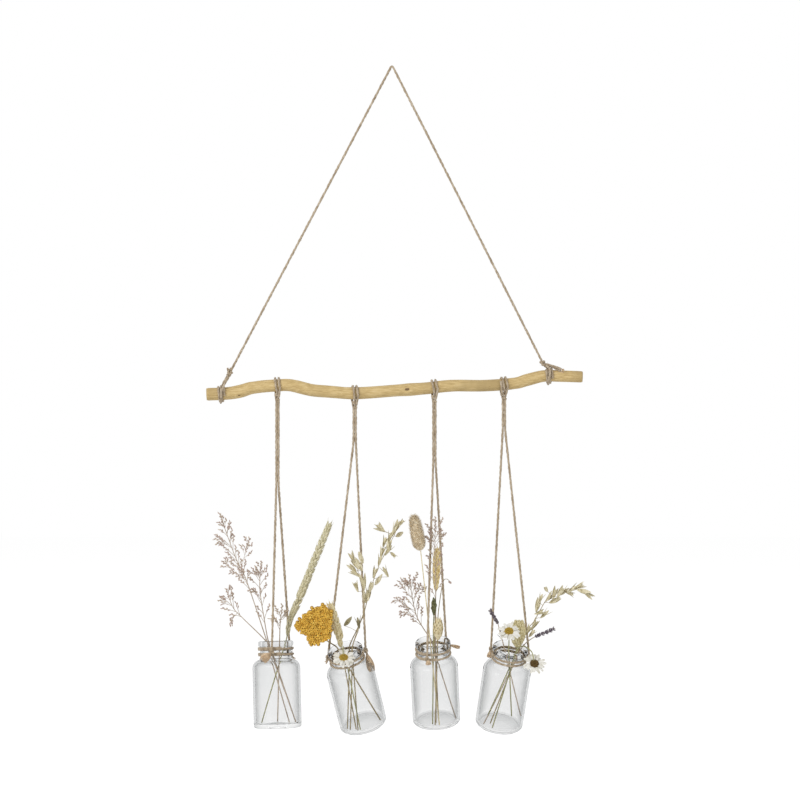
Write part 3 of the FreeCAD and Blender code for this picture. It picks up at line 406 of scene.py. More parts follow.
class Pile:
    """Many small forms in millimetres, of several materials, that become one piece on a body."""

    def __init__(self, name, body, node=None):
        self.name = name
        self.body = body
        self.node = node
        self.points = []
        self.faces = []
        self.paints = []
        self.order = []

    def face(self, corners, material):
        """One face between points that are already in the pile."""
        if material not in self.order:
            self.order.append(material)
        self.faces.append(corners)
        self.paints.append(self.order.index(material))

    def skin(self, first, gaps, sides, material):
        """Faces between closed rings of points; material is one name or a name for each gap."""
        for k in range(gaps):
            low = first + k * sides
            paint = material if isinstance(material, str) else material[k]
            for step in range(sides):
                following = (step + 1) % sides
                corners = (low + step, low + following, low + sides + following, low + sides + step)
                self.face(corners, paint)

    def sheet(self, rows, material):
        """Faces between open rows of points."""
        columns = len(rows[0])
        first = len(self.points)
        for row in rows:
            self.points += row
        for low in range(first, first + (len(rows) - 1) * columns, columns):
            for k in range(low, low + columns - 1):
                self.face((k, k + 1, k + 1 + columns, k + columns), material)

    def tube(self, line, radii, material, sides=6, closed_ends=True):
        """A tube along points; radii is one number or one for each point."""
        if isinstance(radii, float):
            radii = [radii] * len(line)
        first = len(self.points)
        for (place, _, side, other), radius in zip(frames_along(line), radii):
            self.points += [place + turned(angle, side, other) * radius for angle in angles_round(sides)]
        self.skin(first, len(line) - 1, sides, material)
        if closed_ends:
            self.face(tuple(range(first + sides - 1, first - 1, -1)), material)
            last = first + (len(line) - 1) * sides
            self.face(tuple(range(last, last + sides)), material)

    def leaf(self, root, tip, width, material, lift, curl=0.0, steps=4, shape=0.35):
        """A thin pointed blade from root to tip that faces lift, cupped along its middle."""
        way, length = run_of(root, tip)
        lift = square_to(way, lift)
        side = way.cross(lift)
        rows = []
        for t in shares_in(steps):
            swell = sin(pi * min(max(t, 0.04), 0.97) ** (1 - shape)) ** 0.8
            half = width / 2 * (swell + 0.02)
            cup = lift * (half * 0.3)
            middle = root + way * (length * t) + lift * (curl * length * sin(pi * t / 2) ** 2)
            rows.append([middle - side * half + cup, middle, middle + side * half + cup])
        self.sheet(rows, material)

    def grain(self, root, tip, width, material, sides, widest=0.5):
        """A plump pointed seed from root to tip; widest is where along it it is widest."""
        shares = shares_in(5)
        power = log(0.5) / log(widest)
        swells = [sin(pi * min(max(t, 0.03), 0.985) ** power) for t in shares]
        radii = [width * max(swell / 2, 0.04) for swell in swells]
        self.tube([root + (tip - root) * t for t in shares], radii, material, sides)

    def ball(self, centre, radius, material, axis, squash=1.0, sides=5):
        """A small rounded bead."""
        line = [centre + axis * (radius * squash * k) for k in (-0.98, -0.6, 0, 0.6, 0.98)]
        self.tube(line, [radius * k for k in (0.2, 0.8, 1.0, 0.8, 0.2)], material, sides)

    def done(self):
        """Make the mesh, let it ride on its body and stand for its node."""
        mesh = bpy.data.meshes.new(self.name)
        mesh.from_pydata([p * MM for p in self.points], [], self.faces)
        for material in self.order:
            mesh.materials.append(materials[material])
        mesh.polygons.foreach_set("material_index", self.paints)
        mesh.polygons.foreach_set("use_smooth", [True] * len(self.faces))
        mesh.update()
        piece = set_down(self.name, mesh)
        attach(piece, self.body)
        if self.node:
            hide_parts(self.node)
        return piece


# The stick

def stick_point(share):
    """The middle of the stick at a share of its length, on a smooth line through its table."""
    rows = stick_line_shares
    last = len(rows) - 1
    index = max(k for k in range(last) if rows[k][0] <= share or k == 0)
    before, low, high, after = (rows[min(max(index + k, 0), last)] for k in (-1, 0, 1, 2))
    span = high[0] - low[0]
    t = (share - low[0]) / span
    place = []
    for k in (1, 2):
        slope_low = (high[k] - before[k]) / (high[0] - before[0]) * span
        slope_high = (after[k] - low[k]) / (after[0] - low[0]) * span
        place.append(
            (2 * t ** 3 - 3 * t ** 2 + 1) * low[k]
            + (t ** 3 - 2 * t ** 2 + t) * slope_low
            + (3 * t ** 2 - 2 * t ** 3) * high[k]
            + (t ** 3 - t ** 2) * slope_high
        )
    back, up = place
    along = stick_length * share - stick_left_overhang
    return Vector((along, stick_length * back, stick_length * up - stick_drop))


def stick_way(share):
    """The stick's direction at a share of its length."""
    step = 0.004
    return (stick_point(min(share + step, 1)) - stick_point(max(share - step, 0))).normalized()


def stick_radius(share):
    """Half the stick's thickness at a share of its length."""
    thickness = stick_left_thickness + (stick_right_thickness - stick_left_thickness) * share
    swell = sum(size * exp(-(((share - at) / 0.02) ** 2)) for at, size in stick_swell_shares)
    return thickness / 2 * (1 + swell)


def stick_frame(share):
    """The stick's middle, its way, the direction to its front and the one to its top."""
    way = stick_way(share)
    front = square_to(way, BACK) * -1
    return stick_point(share), way, front, way.cross(front) * -1


# Twig scars: share along the stick, angle from the front up, size
scars = ((0.085, -38, 0.8), (0.534, 4, 1.3))


def angle_off(angle, turn):
    """The signed angle between two angles."""
    return (angle - turn + HALF_TURN) % FULL_TURN - HALF_TURN


def wood_wave(share, angle, base, dents):
    """How far the wood stands out of its round section, as a share of its radius."""
    wave = 0.012 * sin(radians(3 * angle) + 11 * share)
    wave += 0.01 * sin(radians(2 * angle) - 23 * share)
    for at, turn, size in scars:
        gap = (share - at) * stick_length
        near = hypot(gap / 1.5, radians(angle_off(angle, turn)) * base) / (3.2 * size)
        wave += 0.15 * exp(-((near - 0.9) / 0.45) ** 2) - 0.08 * exp(-(near / 0.45) ** 2)
    for at, turn, size in dents:
        gap = (share - at) / size
        if abs(gap) < 2:
            wave -= 0.03 * exp(-gap * gap - (angle_off(angle, turn) / 16) ** 2)
    return wave


def scar_disk(pile, at, turn, size):
    """The dark slit where a twig was cut off."""
    middle, way, front, top = stick_frame(at)
    out = turned(turn, front, top)
    foot = middle + out * (stick_radius(at) * 0.93)
    spot = len(pile.points)
    sides = 12
    pile.points.append(foot + out * 0.55)
    for step, angle in enumerate(angles_round(sides)):
        wide = 2.3 * size * (1 + 0.18 * sin(radians(angle * 3)))
        pile.points.append(foot + out * 0.35 + turned(angle, way * 1.35, out.cross(way) * 0.42) * wide)
        pile.face((spot, spot + 1 + step, spot + 1 + (step + 1) % sides), "scar")


def make_stick():
    """The peeled stick: uneven long fibres, two cut twig scars and sawn ends."""
    pile = Pile("stick_wood", "stick", "stick")
    rings, sides = 260, 40
    edge_round, edge_reach, end_dome, dent_count = 0.5, 1.2, 0.25, 70
    dents = [(random.random(), between(0, FULL_TURN), between(0.004, 0.02)) for _ in range(dent_count)]
    for share in shares_in(rings):
        middle, _, front, top = stick_frame(share)
        base = stick_radius(share)
        edge = min(share, 1 - share) * stick_length
        cut = edge_round * max(0, 1 - edge / edge_reach) ** 2
        for angle in angles_round(sides):
            radius = base * (1 + wood_wave(share, angle, base, dents)) - cut
            pile.points.append(middle + turned(angle, front, top) * radius)
    pile.skin(0, rings, sides, "stick")
    for share, low, flip in ((0, 0, -1), (1, rings * sides, 1)):
        centre = len(pile.points)
        pile.points.append(stick_point(share) + stick_way(share) * (end_dome * flip))
        for step in range(sides):
            pile.face((low + step, low + (step + 1) % sides, centre)[::flip], "stick end")
    for scar in scars:
        scar_disk(pile, *scar)
    pile.done()


# Twine

strand_count = 3
strand_radius = 0.80
strand_offset = 0.50
lay_length = 17.0
loose_fibres_per_mm = 0.5
loose_fibre_radii = (0.07, 0.06, 0.03)
tail_fibre_radius = 0.16
tuft_fibre_radius = 0.22
tuft_fibres = 170


def lay_twine(pile, line, phase=0.0, fuzz=1.0, thickness=1.0):
    """Three strands twisted round a line, with loose fibres standing off it."""
    frames = list(frames_along(spaced(line)))
    strands = [[] for _ in range(strand_count)]
    travelled = 0.0
    last = line[0]
    for place, way, side, other in frames:
        travelled += (place - last).length
        last = place
        thick = thickness * (1 + 0.08 * sin(travelled * 0.37 + phase) + 0.05 * sin(travelled * 1.13))
        for k, strand in enumerate(strands):
            angle = FULL_TURN * (travelled / lay_length + k / strand_count) + degrees(phase)
            off = turned(angle, side, other) * (strand_offset * thick)
            strand.append((place + off, strand_radius * thick))
    for strand in strands:
        pile.tube(*zip(*strand), "twine")
    for _ in range(int(travelled * loose_fibres_per_mm * fuzz)):
        place, way, side, other = random.choice(frames)
        out = any_turn(side, other)
        root = place + out * (strand_radius * thickness * 1.2)
        reach = between(0.8, 2.6)
        bend = way * between(-1.4, 1.4) + out * between(0.2, 0.7)
        tip = root + bend * reach + out.cross(way) * between(-0.6, 0.6)
        pile.tube([root, root + bend * (reach * 0.6), tip], loose_fibre_radii, "fuzz", 3, False)


def any_phase():
    """A random start, in radians, for a twine's lay."""
    return between(0, 6)


def cord(name, body, points, hold, reach=0.0):
    """A taut twine: its centre line as a curve with a plain core, and strands that reach into its knot."""
    curve = bpy.data.curves.new(name, "CURVE")
    curve.dimensions = "3D"
    curve.resolution_u = 16
    route = curve.splines.new("NURBS")
    route.points.add(len(points) - 1)
    for point, place in zip(route.points, points):
        point.co = (*(place * MM), 1)
    route.order_u = 3
    route.use_endpoint_u = True
    core = set_down(name, curve)
    bpy.context.view_layer.update()
    mesh = core.to_mesh()
    line = [v.co / MM for v in mesh.vertices]
    core.to_mesh_clear()
    curve.bevel_depth = twine_diameter * 0.4 * MM
    curve.bevel_resolution = 2
    curve.use_fill_caps = True
    curve.materials.append(materials["twine"])
    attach(core, body)
    if hold:
        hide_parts(hold)
    pile = Pile(name + "_strands", body)
    first = [line[0] + (line[0] - line[1]).normalized() * reach] if reach else []
    lay_twine(pile, first + line, any_phase())
    strands = pile.done()
    length = sum((b - a).length for a, b in zip(line, line[1:]))


def turns(centre, axis, first, radius, start_angle, sweep, pitch):
    """Points on a winding round an axis."""
    steps_per_turn = 40
    second = axis.cross(first)
    count = max(int(abs(sweep) / FULL_TURN * steps_per_turn), 4)
    points = []
    for k in range(count + 1):
        angle = start_angle + sweep * k / count
        rise = pitch * (angle - start_angle - sweep / 2) / FULL_TURN
        points.append(centre + axis * rise + turned(angle, first, second) * radius)
    return points


def knot_of_twine(pile, centre, axis, radius, thickness):
    """A small overhand knot: two loops of twine and a turn that crosses them."""
    side, other = crosswise(axis)
    loops = []
    for t in shares_in(34):
        out = turned(2 * FULL_TURN * t, side, other) * (radius * (0.52 + 0.18 * sin(6 * pi * t)))
        loops.append(centre + out + axis * (0.76 * radius * cos(pi * t)))
    lay_twine(pile, smooth_line(loops), any_phase(), 1.4, thickness)
    middle = centre + other * (0.35 * radius)
    crossing = [middle + turned(FULL_TURN * k / 16, side, axis) * (0.62 * radius) for k in range(14)]
    lay_twine(pile, crossing, any_phase(), 1.0, thickness)


def frayed_tail(pile, root, way, length, spread, threads):
    """A cut end that opens into loose fibres."""
    side, other = crosswise(way)
    for _ in range(threads):
        off = any_turn(side, other)
        lean = spread * random.random() ** 0.7
        reach = length * between(0.55, 1.0)
        start = root + off * (0.8 * random.random())
        middle = start + (way * 0.5 + off * (lean * 0.35)) * reach
        tip = start + (way + off * lean - UP * (0.1 * random.random())) * reach
        pile.tube(smooth_line([start, middle, tip], 1.5), tail_fibre_radius, "frayed", 4, False)


def clump(pile, root, way, length, wide):
    """A cut end whose fibres have opened into a soft flattened tuft."""
    side, other = crosswise(way)
    lay_twine(pile, smooth_line([root, root + way * (length * 0.3)]), 0.5, 1.5)
    for _ in range(tuft_fibres):
        off = any_turn(side, other * 0.7) * (sqrt(random.random()) * wide / 2)
        reach = length * between(0.8, 1.0)
        curl = side * between(-0.8, 0.8) + other * between(-0.8, 0.8)
        fibre = [
            root + way * (length * 0.18) + off * 0.15,
            root + way * (reach * 0.5) + off * 0.8,
            root + way * (reach * 0.8) + off + curl * 0.5,
            root + way * reach + off * 0.75 + curl,
        ]
        pile.tube(smooth_line(fibre, 2.0), tuft_fibre_radius, "frayed", 4, False)
    pile.grain(root + way * (length * 0.15), root + way * (length * 0.9), wide * 0.75, "frayed", 10, 0.6)


def round_stick(share, knot_place):
    """For turns round the stick: its middle, its way, the direction to the knot and the turns' radius."""
    centre, way = stick_point(share), stick_way(share)
    radius = stick_radius(share) + seat_gap * 0.4 + twine_diameter / 2
    return centre, way, square_to(way, knot_place - centre), radius


def hitch_piece(number, share, pivot):
    """The twine round the stick that a sling hangs from, and the knot under it."""
    hitch_pitch, collar_pitch, collar_radius, collar_drop = 3.9, 1.9, 2.1, 4.4
    pile = Pile("hitch_twine_%d" % number, "stick", "hitch_%d" % number)
    centre, way, to_knot, radius = round_stick(share, pivot)
    second = way.cross(to_knot)
    opening = degrees(acos(radius / (pivot - centre).length))
    line = turns(centre, way, to_knot, radius, opening, 2 * FULL_TURN - 2 * opening, hitch_pitch)
    collar_middle = pivot - to_knot * collar_drop
    collar = turns(collar_middle, to_knot, way, collar_radius, 20, 1.4 * FULL_TURN, collar_pitch)
    lay_twine(pile, collar, 1.0, 1.0, 0.8)
    off = second * 1.2 - way * 1.5
    ends = [pivot + off - to_knot * 1.2, pivot - off - to_knot * 1.2]
    lay_twine(pile, smooth_line(ends[:1] + line[::2] + ends[1:]), number * 1.3)
    # The last hitch has one more turn, which stands off the stick on the knot's side
    if number == 4:
        loop = []
        for angle in range(-120, 121, 20):
            out = radius + 0.4 + 2.6 * exp(-(angle / 38.0) ** 2)
            loop.append(centre - way * 3.4 + turned(angle, to_knot, second) * out)
        lay_twine(pile, smooth_line(loop), 2.0)
    pile.done()
    knot_name = "hitch_knot_%d" % number
    knot = Pile("hitch_knot_twine_%d" % number, knot_name, knot_name)
    knot_of_twine(knot, pivot, RIGHT, hitch_knot_radius * 0.8, 0.8)
    knot.done()


def end_tie_piece(name, share, knot_place):
    """Turns round the stick near its end, and the two strands up to the knot."""
    pile = Pile(name + "_twine", "stick", name)
    centre, way, to_knot, radius = round_stick(share, knot_place)
    second = way.cross(to_knot)
    lay_twine(pile, turns(centre, way, to_knot, radius, 20, 2.35 * FULL_TURN - 40, 2.9), 0.4)
    outer = radius + twine_diameter * 0.8
    flank = degrees(acos(outer / (knot_place - centre).dot(to_knot)))
    for sign in (1, -1):
        foot = centre + turned(flank, to_knot, second * sign) * outer + way * (0.9 * sign)
        below = centre + turned(flank + 60, to_knot, second * sign) * outer - way * 0.8
        low = centre - to_knot * (outer - 0.4) - way * 1.4
        head = knot_place + (foot - knot_place).normalized() * 3.9 + way * (0.8 * sign)
        lay_twine(pile, smooth_line([head, foot, below, low]), sign)
    pile.done()


def hanger_pieces():
    """The triangle of twine over the nail and its two knots with their tails."""
    bend = (nail_diameter + twine_diameter) / 2
    slant = atan2((right_knot.x - left_knot.x) / 2, stick_drop)
    apex = Vector((0, 0, twine_diameter / 2 - bend + bend / sin(slant)))
    rises = [(apex - place).normalized() for place in (left_knot, right_knot)]
    start = left_knot + rises[0] * (hanger_knot_length / 2)
    end = right_knot + rises[1] * (hanger_knot_length / 2)
    near = bend * 2.2
    route = [start, apex - rises[0] * near, apex, apex - rises[1] * near, end]
    cord("hanger_line", "hanger", route, "hanger_twine")
    left_tails = ((-0.25, -0.45, 0.85), (0.2, 0.3, 0.9))
    right_tails = ((0.93, -0.30, -0.31), (0.92, -0.16, -0.43))
    for name, place, rise, tails, size, frayed in (
        ("left", left_knot, rises[0], left_tails, 4.0, 2.0),
        ("right", right_knot, rises[1], right_tails, 21.0, 4.0),
    ):
        pile = Pile("hanger_knot_%s_twine" % name, "hanger", "hanger_knot_" + name)
        knot_of_twine(pile, place, rise, 3.1, 1.0)
        for tail in tails:
            tail = Vector(tail).normalized()
            root = place + tail * 2
            line = [root, root + tail * (size * 0.5) + UP * 0.6, root + tail * (size * 0.9)]
            lay_twine(pile, smooth_line(line), 1.0)
            frayed_tail(pile, line[-1], tail, frayed, 0.4, 14)
        pile.done()


# Bottles

class Bottle:
    """A bottle's own frame: its base, the way to its right, its back and its mouth."""

    def __init__(
        self, number, share, lean, tip, offset, stem_share, knots, split_share, band_spread, band_slope,
    ):
        self.number = number
        self.share = share
        self.knots = knots
        self.split_share = split_share
        self.band_spread = band_spread
        self.band_slope = band_slope
        self.body = "sling_%d" % number
        self.pivot = stick_point(share) - UP * hitch_knot_drop
        turn = Matrix.Rotation(radians(lean), 3, "Y")
        self.right = turn @ RIGHT
        self.back = turn @ turned(tip, BACK, UP)
        self.up = turn @ turned(tip, UP, BACK * -1)
        self.base = self.pivot + Vector(offset) - self.up * (bottle_height / 2)
        self.stem_slope = stem_share * inner_radius / (neck_middle - base_thickness)

    def at(self, side, depth, height):
        """A place given by how far it is to the bottle's right, to its back and up."""
        return self.base + self.right * side + self.back * depth + self.up * height

    def out(self, angle):
        """The way out from the bottle's axis at an angle from its right."""
        return turned(angle, self.right, self.back)

    def on_stem_sheet(self, side, depth, height):
        """The same, with the depth counted from the sloping sheet that the stems stand in."""
        return self.at(side, depth + self.stem_slope * (height - neck_middle), height)


def arc(centre, radius, start, end, steps):
    """Places (out, up) on an arc about a centre."""
    angles = [radians(start + (end - start) * share) for share in shares_in(steps)]
    return [(centre[0] + radius * cos(a), centre[1] + radius * sin(a)) for a in angles]


def bottle_outline():
    """The glass's closed outline (out, up), from the middle of the base round to the inside floor."""
    foot_round, bead_round, rim_round, lip_round = 0.9, 1.6, 2.0, 1.4
    joined = shoulder_round + neck_root_round
    inward = joined - (bottle_radius - neck_radius)
    shoulder_foot = neck_root - sqrt(joined ** 2 - inward ** 2)
    meet = degrees(atan2(neck_root - shoulder_foot, inward))
    shoulder = (bottle_radius - shoulder_round, shoulder_foot)
    root = (neck_radius + neck_root_round, neck_root)
    rim_foot = bottle_height - rim_height
    ring_inside = bottle_radius - base_round - base_ring_width
    floor_edge = base_thickness + 3
    places = [(0, base_push_up), (ring_inside * 0.6, base_push_up * 0.8)]
    places += [(ring_inside * 0.9, 0.7), (ring_inside, 0.15)]
    places += arc((ring_inside + 2 * foot_round, foot_round), foot_round, -150, -QUARTER_TURN, 2)
    places += arc((bottle_radius - base_round, base_round), base_round, -QUARTER_TURN, 0, 7)
    wall_rise = shoulder_foot - base_round
    places += [(bottle_radius, base_round + wall_rise * share) for share in (0.25, 0.5, 0.75)]
    places += arc(shoulder, shoulder_round, 0, meet, 12)
    places += arc(root, neck_root_round, meet + HALF_TURN, HALF_TURN, 8)[1:]
    places.append((neck_radius, rim_foot - 1.2))
    places += arc((rim_radius - bead_round, rim_foot + 1.7), bead_round, -80, 0, 5)
    places += arc((rim_radius - rim_round, bottle_height - rim_round), rim_round, 0, QUARTER_TURN, 6)
    lip = (neck_inner_radius + lip_round, bottle_height - lip_round)
    places += arc(lip, lip_round, QUARTER_TURN, HALF_TURN, 5)
    places.append((neck_inner_radius, neck_root + 4))
    places += arc(root, neck_root_round + bottle_wall, HALF_TURN, meet + HALF_TURN, 8)
    places += arc(shoulder, shoulder_round - bottle_wall, meet, 0, 10)[1:]
    wall_rise = shoulder_foot - floor_edge
    places += [(inner_radius, floor_edge + wall_rise * share) for share in (0.75, 0.5, 0.25)]
    corner = (inner_radius - inside_round, base_thickness + inside_round)
    places += arc(corner, inside_round, 0, -QUARTER_TURN, 7)
    floor = ((11.0, 0.9), (5.0, base_push_up * 0.8), (0, base_push_up))
    return places + [(out, base_thickness + rise) for out, rise in floor]


def glass_at(height):
    """The look of the glass at a height: thick at the base, thin round the neck and rim, each with its own
    refraction and painted edge shade.
    """
    if height > neck_root - 1.0:
        return "glass rim"
    return "glass base" if height < base_thickness + 2.5 else "glass"


def make_bottle(bottle):
    """A turned glass body with a slightly uneven wall."""
    least_radius, unevenness = 0.001, 0.0025
    pile = Pile("bottle_glass_%d" % bottle.number, bottle.body, "bottle_%d" % bottle.number)
    outline = bottle_outline()
    sides = 72
    for out, up in outline:
        for angle in angles_round(sides):
            radius = max(out, least_radius) * (1 + unevenness * sin(radians(2 * angle) + up * 0.05))
            pile.points.append(bottle.base + bottle.out(angle) * radius + bottle.up * up)
    looks = [glass_at((low + high) / 2) for (_, low), (_, high) in zip(outline, outline[1:])]
    pile.skin(0, len(looks), sides, looks)
    pile.done().data.validate()


# Cut ends at the neck knots that have opened into a tuft: (bottle, side) to way, length and width
clumps = {
    (1, -1): ((-0.72, -0.34, -0.60), 14.0, 13.0),
    (2, 1): ((0.30, -0.15, -0.95), 24.0, 8.0),
    (3, 1): ((0.92, -0.10, -0.22), 15.0, 4.5),
    (3, -1): ((0.25, -0.35, -0.85), 6.5, 5.5),
    (4, -1): ((-0.25, -0.20, -0.90), 9.0, 5.0),
}
# Knots whose cut end is only a short fray
short_tails = ((2, -1),)


def sling_leg(bottle, tie, sign, angle, hold):
    """One leg of a sling from the knot under the stick to its neck knot, with the knot's cut end."""
    legs_apart, leg_bend, top_reach = 1.15, 14.0, 3.4
    top_drop = hitch_knot_radius + seat_gap + seat_gap / 3
    out = bottle.out(angle)
    knot_ring = neck_radius + seat_gap * 2 + twine_diameter + neck_knot_radius + neck_knot_room
    knot_place = bottle.at(0, 0, neck_middle) + out * knot_ring
    split_drop = (bottle.pivot - knot_place).z * bottle.split_share
    points = []
    for drop in (top_drop, split_drop - leg_bend, split_drop):
        points.append(bottle.pivot + Vector((legs_apart * sign, 0, -drop)))
    split = points[-1]
    # The left leg of the third bottle bends over the rim
    if (bottle.number, sign) == (3, -1):
        rim_reach = rim_radius + seat_gap + twine_diameter / 2 + rim_bend_room
        points.append(bottle.at(0, 0, bottle_height) + out * rim_reach)
    way = (points[-1] - knot_place).normalized()
    points.append(knot_place + way * (neck_knot_length / 2))
    points.insert(3, split + (points[3] - split).normalized() * leg_bend)
    name = "sling_line_%d_%s" % (bottle.number, "left" if sign < 0 else "right")
    cord(name, bottle.body, points, hold, top_reach)
    knot_of_twine(tie, knot_place, way, neck_knot_radius, 0.85)
    tail_way = (out * 0.85 - way).normalized()
    root = knot_place - way * (neck_knot_length / 2)
    place = (bottle.number, sign)
    if place in clumps:
        clump_way, size, wide = clumps[place]
        clump(tie, knot_place, Vector(clump_way).normalized(), size, wide)
    elif place in short_tails:
        frayed_tail(tie, root, tail_way, 3.5, 0.6, 22)
    else:
        tail = [root + way * 2, root + tail_way * 3, root + tail_way * 7]
        lay_twine(tie, smooth_line(tail), 1.0, 1.5, 0.85)
        frayed_tail(tie, tail[-1] - tail_way, tail_way, 5.0, 0.6, 22)


def make_sling(bottle):
    """The sling's two legs, its knots and the two bands of twine round the neck."""
    number = bottle.number
    tie = Pile("neck_tie_twine_%d" % number, bottle.body, "neck_tie_%d" % number)
    left, right = bottle.knots
    sling_leg(bottle, tie, -1, left, "sling_twine_%d" % number)
    sling_leg(bottle, tie, 1, right, None)
    radius = neck_radius + seat_gap * 0.5 + twine_diameter / 2
    sweep = FULL_TURN + (left - right) % FULL_TURN + 60
    for rise in (-bottle.band_spread, bottle.band_spread):
        centre = bottle.at(0, 0, neck_middle + rise)
        band = turns(centre, bottle.up, bottle.right, radius, right - 30, sweep, bottle.band_slope)
        lay_twine(tie, band, 0.2 + rise, 1.2, 0.95)
    tie.done()


# Dried flowers

class Stem:
    """A stem in a bottle, and the places of its head, which are shares (side, depth, up) of its rise."""

    def __init__(self, bottle, neck_shares, foot_shares, rise):
        """The shares are side and depth in the neck, and side and height of the foot."""
        self.bottle = bottle
        self.rise = rise
        self.depth = neck_shares[1] * neck_inner_radius
        neck_side = neck_shares[0] * neck_inner_radius
        foot_side = foot_shares[0] * inner_radius
        foot_height = foot_shares[1] * bottle_height
        self.slope = (neck_side - foot_side) / (neck_middle - foot_height)
        self.rim_side = neck_side + self.slope * (bottle_height - neck_middle)
        self.foot = self.seated_foot()
        self.rim = bottle.on_stem_sheet(self.rim_side, self.depth, bottle_height)

    def side_at(self, height):
        """How far to the right the stem is at a height in the bottle."""
        return self.rim_side + self.slope * (height - bottle_height)

    def seated_foot(self):
        """The lowest place on the stem's line that is clear of the bottle's floor and wall."""
        edge = inner_radius - inside_round
        reach = stem_thickness / 2 + seat_gap
        height = neck_middle - neck_length
        while True:
            lower = height - 0.02
            depth = self.depth + self.bottle.stem_slope * (lower - neck_middle)
            out = hypot(self.side_at(lower), depth)
            floor = base_thickness + base_push_up * (1 - min(out, edge) / edge)
            if out + reach > inner_radius or lower < floor + max(out + reach - edge, 0) + seat_gap:
                return self.bottle.on_stem_sheet(self.side_at(height), self.depth, height)
            height = lower

    def at(self, side, depth, up):
        """A place of the head, in shares of its rise from the rim."""
        return self.bottle.on_stem_sheet(
            self.rim_side + side * self.rise, self.depth + depth * self.rise, bottle_height + up * self.rise,
        )

    def inside(self, share):
        """A place between the foot and the rim."""
        return self.foot + (self.rim - self.foot) * share

    def control(self, places):
        """The points that the head's line is drawn through, the same shares as the solids'."""
        return [self.rim] + [self.at(*place) for place in places]

    def line(self, places, end=(), halfway=0.45, spacing=2.5):
        """Points up the stem, straight to the rim and smooth from there."""
        head = [self.inside(0.9), *self.control(places), *end]
        return [self.foot, self.inside(halfway)] + smooth_line(head, spacing)

    def tip_run(self, places):
        """Where the head starts and ends, and its way and length."""
        base, tip = self.at(*places[-2]), self.at(*places[-1])
        return base, tip, *run_of(base, tip)


def on_stem(name, line, material, thin, thick=stem_thickness, straight_points=4):
    """A flower's pile with its stem, which tapers from the rim up."""
    pile = Pile(name + "_flower", name, name)
    rise = max(len(line) - 1 - straight_points, 1)
    radii = []
    for k in range(len(line)):
        taper = (thin - thick) * max(k - straight_points, 0) / rise
        radii.append((thick + taper) / 2 * (1 + 0.05 * sin(k * 2.3)))
    pile.tube(line, radii, material, 7)
    return pile


def tuft(pile, base, way, size, material):
    """A papery floret: three thin blades that spread from one point."""
    side, other = crosswise(way)
    start = between(0, FULL_TURN)
    for angle in angles_round(3):
        off = turned(start + angle, side, other)
        tip = base + (way + off * between(0.35, 0.75)).normalized() * (size * between(0.8, 1.1))
        pile.leaf(base, tip, size * 0.55, material, off, 0.12, 3)


def leaning(way, lean, depth):
    """A way that leans across, and by chance to the front or back."""
    across = way.cross(BACK).normalized()
    return (way + across * lean + BACK * between(-depth, depth)).normalized()


def bud_row(pile, root, tip, reach, material):
    """Small pointed buds in two ranks along the last part of a twig."""
    bud_spacing = 1.6
    way = (tip - root).normalized()
    count = max(int(reach / bud_spacing), 2)
    for k in range(count):
        base = tip - way * (reach * k / count)
        out = leaning(way, 0.38 * (-1 if k % 2 else 1) * between(0.6, 1.2), 0.5)
        stalk = base + out * between(0.2, 0.9)
        pile.tube([base, stalk], [0.17, 0.13], "grey stem", 4)
        paint = material if random.random() < 0.6 else "pale floret"
        pile.grain(stalk, stalk + out * between(2.6, 4.0), between(1.1, 1.5), paint, 5, 0.55)
        if random.random() < 0.35:
            tuft(pile, stalk + out * 0.8, out, 2.2, "pale floret")
    pile.grain(tip - way * 0.4, tip + way * 2.4, 1.1, material, 5)


def sea_lavender(name, stem, places, sprays, material="floret", density=1.0):
    """Thin branching stems whose side twigs carry rows of papery buds."""
    pile = on_stem(name, stem.line(places), "grey stem", 0.7)
    control = stem.control(places)

    def twig(base, run, sag, radius, budded):
        tip = base + run
        pile.tube(bent(base, tip, sag), radius, "grey stem", 4)
        bud_row(pile, base, tip, budded, material)

    tips = [(control[-2], control[-1])]
    for root_share, *spray in sprays:
        root, _ = on_line(control, root_share)
        tip = stem.at(*spray)
        pile.tube(bent(root, tip, UP * -1.2 + RIGHT * between(-0.6, 0.6)), 0.26, "grey stem", 5)
        tips.append((root, tip))
    for root, tip in tips:
        way, length = run_of(root, tip)
        bud_row(pile, root, tip, min(length * 0.6, 17), material)
        for k in range(int((2 + length / 9) * density)):
            share = between(0.25, 0.85)
            lean = random.choice((-1, 1)) * between(0.45, 0.9)
            run = between(5, 11) * (1.15 - 0.5 * share)
            out = leaning(way, lean, 0.6)
            twig(root + (tip - root) * share, out * run, way * 0.6, 0.17, run * 0.75)
    count = int((stem.rise / 8) * density)
    for k in range(count):
        base, way = on_line(control, 0.28 + 0.6 * (k + random.random() * 0.7) / count)
        lean = (-1 if k % 2 else 1) * between(0.35, 0.75)
        run = between(9, 17)
        out = leaning(way, lean, 0.35)
        twig(base, out * run, way * 0.8, 0.27, run * 0.6)
    pile.done()


